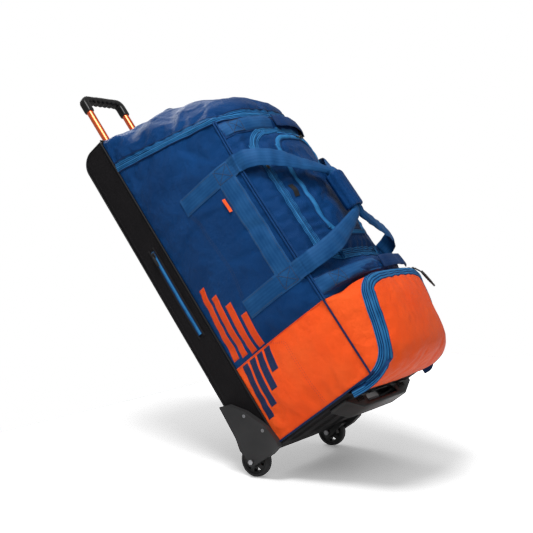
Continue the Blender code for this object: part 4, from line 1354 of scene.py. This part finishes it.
def handle_wrap():
    """Padded sleeve, round outside with lengthwise quilting, open towards the far side."""
    low_box, high_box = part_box("handle_wrap")
    middle, half = (low_box + high_box) / 2, (high_box - low_box) / 2
    steps, rows, gap, power = 60, 40, math.radians(34), 0.72
    wide_count = 2 * steps + 1

    def point(u, v):
        inner = u > 0.5
        share = 2 * (1 - u) if inner else 2 * u
        # Angle 0 faces the far side, where the sleeve is open.
        angle = gap + (2 * math.pi - 2 * gap) * share
        c, s = math.cos(angle), math.sin(angle)
        size = 0.78 if inner else 1.0
        quilt = 0 if inner else 0.0022 * (abs(math.sin(share * math.pi * 8)) ** 0.5 - 0.6)
        y = math.copysign(abs(c) ** power, c) * (half.y * size + quilt)
        x = math.copysign(abs(s) ** power, s) * (half.x * size + quilt)
        end = 1 - 0.10 * (1 - math.sqrt(max(0.0, 1 - max(0.0, (abs(2 * v - 1) - 0.86) / 0.14) ** 2)))
        z = low_box.z - 0.004 + (high_box.z - low_box.z + 0.008) * v
        return Vector((middle.x + x * end, middle.y + y * end, z + 0.0012 * math.sin(share * 9)))

    points = [point(i / (2 * steps), j / rows) for j in range(rows + 1) for i in range(wide_count)]
    faces = grid(2 * steps, rows)
    # Close the sleeve's two edges and the ends.
    for j in range(rows):
        near, far = j * wide_count, (j + 1) * wide_count
        faces.append((near + 2 * steps, near, far, far + 2 * steps))
    top = rows * wide_count
    for a in range(steps):
        b = 2 * steps - a
        last = a == steps - 1
        faces.append((a, b, a + 1) if last else (a, b, b - 1, a + 1))
        faces.append((top + a, top + a + 1, top + b) if last else (top + a, top + a + 1, top + b - 1, top + b))
    mesh = closed_mesh("handle_wrap_padding", points, faces, merge=1e-6)
    piece = belongs(add("handle_wrap_padding", mesh, BLUE), "near_handle", "blue_fabric", "handle_wrap")
    mesh.set_sharp_from_angle(angle=math.radians(50))


handle_wrap()


# ---------------------------------------------------------------- rear tub, base tray and lining


def block(name, low, high, bevel, material, segments=3):
    """A rounded block."""
    cage = bmesh.new()
    bmesh.ops.create_cube(cage, size=1.0)
    low, high = Vector(low), Vector(high)
    bmesh.ops.scale(cage, vec=high - low, verts=cage.verts)
    bmesh.ops.translate(cage, vec=(low + high) / 2, verts=cage.verts)
    if bevel:
        bmesh.ops.bevel(cage, geom=list(cage.edges), offset=bevel, segments=segments, profile=0.5, affect="EDGES")
    mesh = bpy.data.meshes.new(name)
    cage.to_mesh(mesh)
    cage.free()
    made = add(name, mesh, material)
    mesh.set_sharp_from_angle(angle=math.radians(50))
    return made


def divided(*stops, step=0.009):
    """Even steps between stops that have to be met."""
    values = [stops[0]]
    for start, end in zip(stops, stops[1:]):
        values += list(np.linspace(start, end, max(1, round((end - start) / step)) + 1)[1:])
    return values


def rear_tub():
    """A box's grid drawn onto the tub's rounded shape, open for the wheels and the bezel."""
    edge, notch_x, notch_y, notch_z, recess_y = 0.009, 0.0555, 0.1665, 0.1075, 0.1095
    xs = divided(0.0, notch_x, TUB_DEPTH)
    ys = divided(-HALF_WIDTH, -notch_y, -recess_y, recess_y, notch_y, HALF_WIDTH)
    zs = divided(TUB_BOTTOM, notch_z, TUB_TOP)
    cage = bmesh.new()
    found = {}

    def vertex(i, j, k):
        if (i, j, k) not in found:
            found[(i, j, k)] = cage.verts.new((xs[i], ys[j], zs[k]))
        return found[(i, j, k)]

    nx, ny, nz = len(xs) - 1, len(ys) - 1, len(zs) - 1
    quads = [[(0, a, b), (0, a + 1, b), (0, a + 1, b + 1), (0, a, b + 1)] for a in range(ny) for b in range(nz)]
    for f in (0, ny):
        quads += [[(a, f, b), (a + 1, f, b), (a + 1, f, b + 1), (a, f, b + 1)]
                  for a in range(nx) for b in range(nz)]
    for f in (0, nz):
        quads += [[(a, b, f), (a + 1, b, f), (a + 1, b + 1, f), (a, b + 1, f)]
                  for a in range(nx) for b in range(ny)]
    for quad in quads:
        x = sum(xs[i] for i, _, _ in quad) / 4
        y = abs(sum(ys[j] for _, j, _ in quad)) / 4
        z = sum(zs[k] for _, _, k in quad) / 4
        in_notch = x < notch_x and y > notch_y and z < notch_z
        in_recess = x < notch_x and y < recess_y and z == TUB_TOP
        if not in_notch and not in_recess:
            cage.faces.new([vertex(*corner) for corner in quad])
    for v in cage.verts:
        x, y, z = v.co
        inner = Vector((max(x, edge), max(edge - HALF_WIDTH, min(HALF_WIDTH - edge, y)),
                        max(TUB_BOTTOM + edge, min(TUB_TOP - edge, z))))
        away = Vector((x, y, z)) - inner
        if inner.x < TUB_ROUND and inner.z > TUB_TOP - TUB_ROUND:
            # The rear top corner: a square ring of points becomes a round one.
            spoke = Vector((inner.x - TUB_ROUND, 0, inner.z - TUB_TOP + TUB_ROUND))
            reach = max(-spoke.x, spoke.z)
            spoke = spoke.normalized() * reach
            inner = Vector((TUB_ROUND, inner.y, TUB_TOP - TUB_ROUND)) + spoke
            if reach > TUB_ROUND - edge - 1e-6:
                rounded = abs(away.y) < 1e-9 or max(-away.x, away.z) > 1e-6
                away = spoke.normalized() * edge * rounded + Vector((0, away.y, 0))
        way = away.normalized() if away.length > 1e-6 else Vector()
        dent = 0.0016 * noise.noise(Vector((x * 9, y * 7, z * 6)))
        dent += 0.0007 * noise.noise(Vector((x * 40, y * 34, z * 30)))
        v.co = at(*(inner + way * (edge + dent * (1 - smooth(TUB_DEPTH - 0.012, TUB_DEPTH - 0.002, x)))))
    bmesh.ops.recalc_face_normals(cage, faces=cage.faces)
    mesh = bpy.data.meshes.new("rear_tub_shell")
    cage.to_mesh(mesh)
    cage.free()
    faced(mesh, (-1, 0, 0))
    piece = add("rear_tub_shell", mesh, BLACK)
    solidify(piece, 0.0035)
    return belongs(piece, "bag", "black_fabric", "rear_tub")


tub = rear_tub()
TUB_SKIN = Skin(tub)
for side, sign in SIDES:
    out = (0, sign, 0)
    rim = [at(TUB_DEPTH - 0.001, sign * (HALF_WIDTH + 0.0005), z) for z in np.linspace(0.050, TUB_TOP - 0.004, 150)]
    trim("tub_piping_" + side, None, rim, out, round_profile(0.0024, 8, 0.0010), BLACK_CORD, "black_fabric")
    # Up the rear edge, round the tub's corner and forward along the top.
    spots = [(0.0, z, 0.0) for z in np.linspace(0.112, TUB_TOP - TUB_ROUND - 0.004, 110)]
    spots += [(TUB_ROUND * (1 - math.cos(a)), TUB_TOP - TUB_ROUND * (1 - math.sin(a)), a)
              for a in (math.pi / 2 * k / 24 for k in range(25))]
    spots += [(x, TUB_TOP, math.pi / 2) for x in np.linspace(TUB_ROUND + 0.004, TUB_DEPTH - 0.003, 12)]
    rear = [at(x + 0.0026 * math.cos(a), sign * (HALF_WIDTH - 0.0026), z - 0.0026 * math.sin(a)) for x, z, a in spots]
    ways = [Vector((-math.cos(a), sign, math.sin(a))).normalized() for _, _, a in spots]
    trim("tub_edge_piping_" + side, None, rear, ways, round_profile(0.0019, 8, 0.0010), BLACK_CORD, "black_fabric")
    for k, (x, low, below_top) in enumerate(((0.0795, 0.205, 0.012), (0.0145, 0.215, 0.055))):
        flat = [at(x, sign * HALF_WIDTH, z) for z in np.linspace(low, TUB_TOP - below_top, 300)]
        sewn(f"tub_stitch_{side}_{k + 1}", TUB_SKIN, flat, out, BLACK_CORD, "black_fabric")
top_rim = [at(TUB_DEPTH - 0.001, y, TUB_TOP + 0.0004)
           for y in np.linspace(-HALF_WIDTH + 0.003, HALF_WIDTH - 0.003, 60)]
trim("tub_piping_top", None, top_rim, (0, 0, 1), round_profile(0.0024, 8, 0.0010), BLACK_CORD, "black_fabric")


def base_tray():
    """Moulded and cloth-covered underside with lengthwise ribs."""
    _, high_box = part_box("base_plate")

    def point(u, v):
        y = -HALF_WIDTH - 0.0012 + (2 * HALF_WIDTH + 0.0024) * u
        x = TUB_DEPTH + 0.0006 + (high_box.x - AXLE - TUB_DEPTH - 0.0006) * v
        rib = max(0.0, math.cos(math.pi * (y / 0.052 % 2 - 1))) ** 3
        ends = smooth(0.0, 0.08, v) * (1 - smooth(0.92, 1.0, v)) * (1 - smooth(0.155, 0.170, abs(y)))
        lip = smooth(HALF_WIDTH - 0.010, HALF_WIDTH + 0.001, abs(y))
        return at(x, y, 0.0352 - 0.0050 * rib * ends + 0.0060 * lip ** 2)

    piece = sheet("base_tray", point, 120, 40, (0, 0, -1), BLACK)
    solidify(piece, 0.0028)
    return belongs(piece, "bag", "black_fabric", "base_plate")


base_tray()


def lining(name, points, low, high, axis, nodes):
    """A thin sheet bent along a line and hanging between two ends."""
    rows = spaced([(*p, 0.0) for p in points], 0.006)

    def point(u, v):
        row = rows[round(v * (len(rows) - 1))]
        along = low + (high - low) * u
        ripple = 0.0012 * noise.noise(Vector((row[0] * 16, row[1] * 16, along * 7)))
        if axis == "y":
            return at(row[0] + ripple, along, row[1] + ripple)
        return at(row[0] + ripple, row[1], along)

    piece = sheet(name, point, round((high - low) / 0.008), len(rows) - 1, (1, 0, 0.01), LINING)
    solidify(piece, 0.0016)
    belongs(piece, "bag", "black_fabric", *nodes)


DIVIDER = ((0.327, 0.0432), (0.327, 0.14), (0.328, 0.232), (0.334, 0.2405), (0.362, 0.242), (0.400, 0.242))
COVER = ((0.0072, 0.117), (0.024, 0.1125), (0.041, 0.108), (0.0462, 0.100), (0.0462, 0.0))
cover_line = [(x, -y) for x, y in COVER] + list(COVER[-2::-1])
lining("boot_divider_sheet", DIVIDER, -0.193, 0.193, "y", ["boot_divider"])
lining("handle_cover_sheet", cover_line, 0.080, 0.949, "z", ["handle_cover"])


# ---------------------------------------------------------------- zips' sliders and small trims
def slider(name, foot, face, along, body, node, tab=0.020):
    """Zip slider: body, bridge and a flat tab that lies along the zip."""
    face, along = Vector(face).normalized(), Vector(along).normalized()
    along = (along - face * along.dot(face)).normalized()
    turn = Matrix((along, face.cross(along), face)).transposed().to_4x4()
    bridge = ((-0.0055, 0.0020), (-0.0045, 0.0044), (-0.001, 0.0054), (0.003, 0.0048), (0.0052, 0.0022))
    bridge_ways = ((-1, 0.4), (-0.7, 0.7), (0, 1), (0.5, 0.8), (1, 0.5))
    pieces = [
        block(name + "_shell", (-0.0075, -0.0050, 0.0), (0.0075, 0.0050, 0.0026), 0.0011, HARD_BLACK),
        block(name + "_mouth", (0.0020, -0.0058, 0.0003), (0.0082, 0.0058, 0.0022), 0.0009, HARD_BLACK),
        sweep(name + "_bridge", [Vector((x, 0, z)) for x, z in bridge], [Vector((x, 0, z)) for x, z in bridge_ways],
              [(-0.0014, -0.0006), (0.0014, -0.0006), (0.0014, 0.0006), (-0.0014, 0.0006)], (HARD_BLACK,)),
    ]
    if tab:
        line = [Vector((-0.001 - tab * s, 0, 0.0042 - 0.0016 * math.sin(math.pi * min(1, s * 1.2))))
                for s in np.linspace(0, 1, 9)]
        section = ((-1, -0.4), (-0.8, -1), (0.8, -1), (1, -0.4), (1, 0.4), (0.8, 1), (-0.8, 1), (-1, 0.4))
        pieces.append(sweep(name + "_tab", line, (0, 0, 1), [(u * 0.0036, v * 0.0010) for u, v in section],
                            (HARD_BLACK,), scale=lambda s: 0.65 + 0.5 * s))
    piece = joined(name, pieces)
    piece.data.transform(Matrix.Translation(foot) @ turn)
    return belongs(piece, body, "black_plastic", node)


def cord_pull(name, eye, knot, end, body, node):
    """A cord loop through the slider and a moulded rubber grip."""
    along = (end - knot).normalized()
    bend = eye + (knot - eye) * 0.5 + Vector((0, 0, 0.001))
    line = [Vector(row) for row in spaced([tuple(p) for p in (eye, bend, knot + along * 0.004)], 0.0012)]
    side = along.orthogonal().normalized()
    pieces = []
    for shift in (-0.0011, 0.0011):
        cord = [place + side * shift for place in line]
        pieces.append(sweep(f"{name}_cord_{shift > 0}", cord, side, round_profile(0.0010, 8, 0.0010), (BLACK_CORD,)))
    grip = [knot + (end - knot) * s for s in np.linspace(0, 1, 22)]
    oval = [(0.0042 * math.cos(a), 0.0032 * math.sin(a)) for a in np.linspace(0, 2 * math.pi, 13)[:-1]]
    pieces.append(sweep(name + "_grip", grip, side, oval, (SOFT_RUBBER,), scale=lambda s: (
        0.75 + 0.35 * math.sin(math.pi * min(1, s * 1.1 + 0.1)) ** 0.6) * (1 + 0.10 * math.sin(s * 50))))
    return belongs(joined(name, pieces), body, "rubber", node)


def on_skin(skin, place, way, *shift):
    """The place on a skin under a point, moved by shift."""
    return skin.under(place, way, 0.0, 0.04)[0] + Vector(shift)


# Side pocket: welt, zip and pull on the tub's near side.
NEAR = (0, -1, 0)
pocket_line = [at(0.052, -HALF_WIDTH, z) for z in np.linspace(0.382, 0.640, 120)]
profile, bands = zip_profile(0.0135, 0.0060)
belongs(lay("side_pocket_zip_tape", TUB_SKIN, pocket_line, NEAR, profile, (TAPE, COIL_AND_RIDGE_HIGHLIGHT), bands, False, TEETH), "bag",
        "zip_blue", "side_pocket_zip")
for k, x in enumerate((0.0435, 0.0610)):
    route, ways = TUB_SKIN.route([at(x, -HALF_WIDTH, z) for z in np.linspace(0.374, 0.650, 90)], NEAR, 0.0, 2)
    section = [(-0.0022, 0), (0.0022, 0), (0.0018, 0.0022), (-0.0018, 0.0022)]
    trim(f"side_pocket_welt_{k + 1}", None, route, ways, section, BLACK, "black_fabric")
spot = on_skin(TUB_SKIN, at(0.052, -HALF_WIDTH, 0.630), NEAR, 0, -0.0030, 0)
slider("side_pocket_zip_slider", spot, NEAR, (0, 0, 1), "side_pocket_runner", "side_pocket_slider", 0.0)
cord_pull("side_pocket_cord_pull", at(0.052, -HALF_WIDTH - 0.0075, 0.6340), at(0.0522, -HALF_WIDTH - 0.0095, 0.6240),
          at(0.0535, -HALF_WIDTH - 0.0090, 0.5960), "side_pocket_tag", "side_pocket_pull")

# The other zips' sliders.
spot = on_skin(LID_SKIN, front_from(0.040, P_HIGH - 0.0005, 0.004), (1, 0, 0.3), 0.0030, 0, 0.0010)
slider("lid_pocket_zip_slider", spot, (0.9, 0, 0.45), (0, 1, 0), "lid_pocket_runner", "lid_pocket_slider")
spot = on_skin(FRONT_SKIN, front_from(-HOLE[2], 0.640, 0.001), (1, -0.4, 0), 0.0030, -0.001, 0)
slider("lid_zip_slider", spot, (1, -0.45, 0), (0, 0, 1), "lid_runner", "lid_slider", 0.024)
spot = at(0.260, side_y(0.260, zip_height(0.260), 0.0), zip_height(0.260))
spot = on_skin(ALL_SKIN, spot, (0, 1, 0), 0, 0.0034, 0)
slider("end_zip_slider", spot, (0, 1, 0), (1, 0, -ZIP_SLOPE), "cap_runner", "cap_slider", 0.024)
spot = min(boot_zip, key=lambda place: (place - at(0.503, 0.122, 0.243)).length) + Vector((0.0008, 0, 0.0042))
slider("boot_zip_slider", spot, (0.35, 0, 1), (0, 1, 0), "boot_runner", "boot_slider", 0.0)
cord_pull("boot_rubber_pull", at(0.5045, 0.1225, 0.2490), at(0.5165, 0.1290, 0.2300), at(0.5235, 0.1310, 0.1790),
          "boot_tag", "boot_pull")


def grab_handle():
    """Webbing loop on the end cap."""
    low_box, high_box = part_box("top_grab_handle")
    x = (low_box.x + high_box.x) / 2
    skin = Skin(panels["cap"])

    def on_cap(y):
        return skin.under(Vector((x, y, 0.96)), (0, 0, 1), 0.0, 0.08)[0]

    loop, ways = [], []
    for step in range(41):
        share = step / 40
        y = 0.062 * (2 * share - 1)
        loop.append(Vector((x, y, on_cap(y).z + 0.0010 + 0.020 * math.sin(math.pi * share) ** 0.6)))
        ways.append(Vector((0, (step / 20 - 1) * 1.6, 1)).normalized())
    piece = sweep("end_cap_grab_handle", loop, ways, band_profile(0.032, 0.0030), (WEB,))
    belongs(piece, "end_cap", "webbing", "top_grab_handle")
    for side, sign in SIDES:
        line = [on_cap(sign * (0.058 + 0.006 * k)) for k in range(5)]
        trim("grab_handle_patch_" + side, None, line, (0, 0, 1), band_profile(0.034, 0.0022), WEB, "webbing", "end_cap")


grab_handle()


def pull_grip():
    """Moulded grip: a socket on each tube, round corners and a bar with finger ridges under it."""
    low_box, high_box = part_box("handle_grip")
    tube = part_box("inner_tube_far")
    middle_x, reach = (low_box.x + high_box.x) / 2, (tube[0].y + tube[1].y) / 2
    foot, bar_z, turn = low_box.z - 0.0005, high_box.z - 0.0122, 0.015
    path = [(-reach, z, 0.0) for z in np.linspace(foot, bar_z - turn, 12)]
    path += [(-reach + turn * (1 - math.cos(a)), bar_z - turn * (1 - math.sin(a)), a)
             for a in np.linspace(0.1, math.pi / 2 - 0.1, 9)]
    path += [(y, bar_z, math.pi / 2) for y in np.linspace(-reach + turn, 0.0, 46)]
    path += [(-y, z, math.pi - a) for y, z, a in path[-2::-1]]
    around = 28
    points = []
    for y, z, a in path:
        out = Vector((0, -math.cos(a), math.sin(a)))
        bar_share = 1 - smooth(reach - 0.022, reach - 0.002, abs(y))
        tip = 0.93 + 0.07 * smooth(foot, foot + 0.004, z)
        ridge = 0.0021 * bar_share * (1 - math.cos(y * 2 * math.pi / 0.0195))
        for k in range(around):
            t = 2 * math.pi * k / around
            c, s = math.cos(t), math.sin(t)
            across = 0.0128 * math.copysign(abs(c) ** 0.62, c) * tip
            rise = 0.0122 * math.copysign(abs(s) ** 0.62, s) * tip
            if s < 0:
                rise = rise * (1 - 0.08 * bar_share) + ridge * abs(s) ** 0.5
            place = Vector((middle_x + across, y, z)) + out * rise
            if s > 0.5 and bar_share > 0.9:
                # The recess for the button.
                place.z -= 0.0072 * (1 - smooth(0.0212, 0.0222, abs(y))) * (1 - smooth(0.0074, 0.0090, abs(across)))
            points.append(place)
    last = (len(path) - 1) * around
    ends = [range(around), range(last + around - 1, last - 1, -1)]
    mesh = closed_mesh("pull_grip", points, grid(around, len(path) - 1, True) + ends)
    piece = add("pull_grip_moulding", mesh, GRIP_BLACK)
    mesh.set_sharp_from_angle(angle=math.radians(48))
    belongs(piece, "telescopic_handle", "black_plastic", "handle_grip")


pull_grip()


def skid_moulding():
    """The CAD skid with soft edges and ribs, a little slimmer, tucked under the boot."""
    mesh = frame["nodes"]["front_skid"].data.copy()
    mesh.transform(Matrix.Translation((-0.018, 0, 0)) @ Matrix.Diagonal((1.0, 0.94, 1.0, 1.0)))
    mesh.materials.clear()
    pieces = [add("skid_moulding_bar", mesh, GRIP_BLACK)]
    _, box_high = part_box("front_skid")
    for sign in (-1, 1):
        for k in range(5):
            y = sign * (0.100 + 0.007 * k)
            low = (box_high.x - 0.0195, y - 0.0014, 0.0165)
            high = (box_high.x - 0.0155, y + 0.0014, 0.0300 - 0.0005 * k)
            pieces.append(block(f"skid_rib_{sign}_{k}", low, high, 0.0008, GRIP_BLACK))
    piece = joined("skid_moulding", pieces)
    weld = piece.modifiers.new("weld", "WELD")
    weld.merge_threshold = 0.00002
    rounding = piece.modifiers.new("edges", "BEVEL")
    rounding.width, rounding.segments, rounding.limit_method = 0.0035, 3, "ANGLE"
    rounding.angle_limit = math.radians(38)
    belongs(piece, "bag", "moulded_plastic", "front_skid")


skid_moulding()


# A plain woven label on the front, and a folded tab at the near handle band.
label_line = [front_from(-0.1120, z, 0.0) for z in np.linspace(0.520, 0.556, 14)]
section = [(-0.0070, 0.0), (0.0070, 0.0), (0.0068, 0.0010), (-0.0068, 0.0010)]
trim("plain_label", LID_SKIN, label_line, (1, -0.2, 0), section, BLACK_CORD, "black_fabric", "lid", 0.0008)
tab_line = [at(0.3345, -side_y(0.3345, z, 0.0), z) for z in np.linspace(0.565, 0.603, 12)]
route, _ = SIDE_SKIN["near"].route(tab_line, (-0.2, -1, 0), 0.0020, 2)
section = [(-0.0006, -0.001), (0.0006, -0.001), (0.0006, 0.0070), (-0.0006, 0.0070)]
trim("side_tab", None, route, (-0.75, -0.66, 0), section, ORANGE, "orange_fabric")


# A generic graphic where the side carries printing: slanted bars that change colour at the colour line.
def bar(name, x, z_low, z_high, material, slot):
    def point(u, v):
        rise = (z_high - z_low) * v
        place = at(x + 0.020 * u + 0.10 * rise, -HALF_WIDTH, z_low + rise)
        return SIDE_SKIN["near"].under(place, NEAR, 0.0005, 0.04)[0]

    piece = sheet(name, point, 8, 26, NEAR, material)
    solidify(piece, 0.0007)
    belongs(piece, "bag", slot)


for k, (upper, lower) in enumerate((((0.268, 0.470), (0.100, 0.246)), ((0.262, 0.430), (0.120, 0.246)),
                                    ((0.256, 0.390), (0.150, 0.246)), ((0.256, 0.345), (0.185, 0.246)))):
    bar(f"graphic_bar_upper_{k + 1}", 0.098 + 0.030 * k, *upper, PRINT_ORANGE, "orange_fabric")
    bar(f"graphic_bar_lower_{k + 1}", 0.098 + 0.030 * k, *lower, PRINT_NAVY, "blue_fabric")

# Seam stitching on the near and far panels.
BOW = ((0.219, 0.640), (0.231, 0.594), (0.232, 0.549), (0.238, 0.447), (0.230, 0.399), (0.224, 0.373))
LOW_BOW = ((0.222, 0.248), (0.232, 0.238), (0.254, 0.226), (0.258, 0.200), (0.2585, 0.120), (0.259, 0.050))
for side, sign in SIDES:
    for k, offset in enumerate((0.0, 0.006)):
        for name, bow, still, thread, slot in (("panel_stitch", BOW, 0, THREAD_DARK, "blue_fabric"),
                                               ("lower_panel_stitch", LOW_BOW, 1, THREAD_ORANGE, "orange_fabric")):
            moved = [*bow[:still], *((x + offset, z) for x, z in bow[still:])]
            flat = [at(x, sign * HALF_WIDTH, z) for x, z, _ in spaced([(*p, 0.0) for p in moved], 0.003)]
            sewn(f"{name}_{side}_{k + 1}", SIDE_SKIN[side], flat, (0, sign, 0), thread, slot, passes=2)

# ---------------------------------------------------------------- the frame's own pieces
FINISH = {
    "moulded_plastic": HARD_GREY, "black_plastic": HARD_BLACK, "orange_anodised": ORANGE_METAL, "raw_aluminium": RAW_METAL,
    "steel": STEEL, "tyre": TYRE_BLACK, "board": SHEET_PLASTIC, "rubber": SOFT_RUBBER, "blue_fabric": BLUE,
    "orange_fabric": ORANGE, "black_fabric": BLACK, "webbing": WEB, "zip_blue": TAPE,
}
SOFTENED = {"wheel_tyre": 0.0008, "wheel_housing": 0.0022, "handle_bezel": 0.0015}
for row in frame["record"]["subparts"]:
    node = frame["nodes"][row["node"]]
    finish = FINISH[row["material_slot"]]
    for index in range(max(1, len(node.material_slots))):
        if not node.material_slots:
            node.data.materials.append(finish)
        node.material_slots[index].material = finish
    weld = node.modifiers.new("weld", "WELD")
    weld.merge_threshold = 0.00002
    rounding = node.modifiers.new("edges", "BEVEL")
    rounding.width = next((width for start, width in SOFTENED.items() if row["node"].startswith(start)), 0.0006)
    rounding.segments = 2
    rounding.limit_method = "ANGLE"
    rounding.angle_limit = math.radians(40)
    rounding.harden_normals = False
    node.data.shade_smooth()
    shading = node.modifiers.new("shading", "WEIGHTED_NORMAL")
    shading.keep_sharp = True
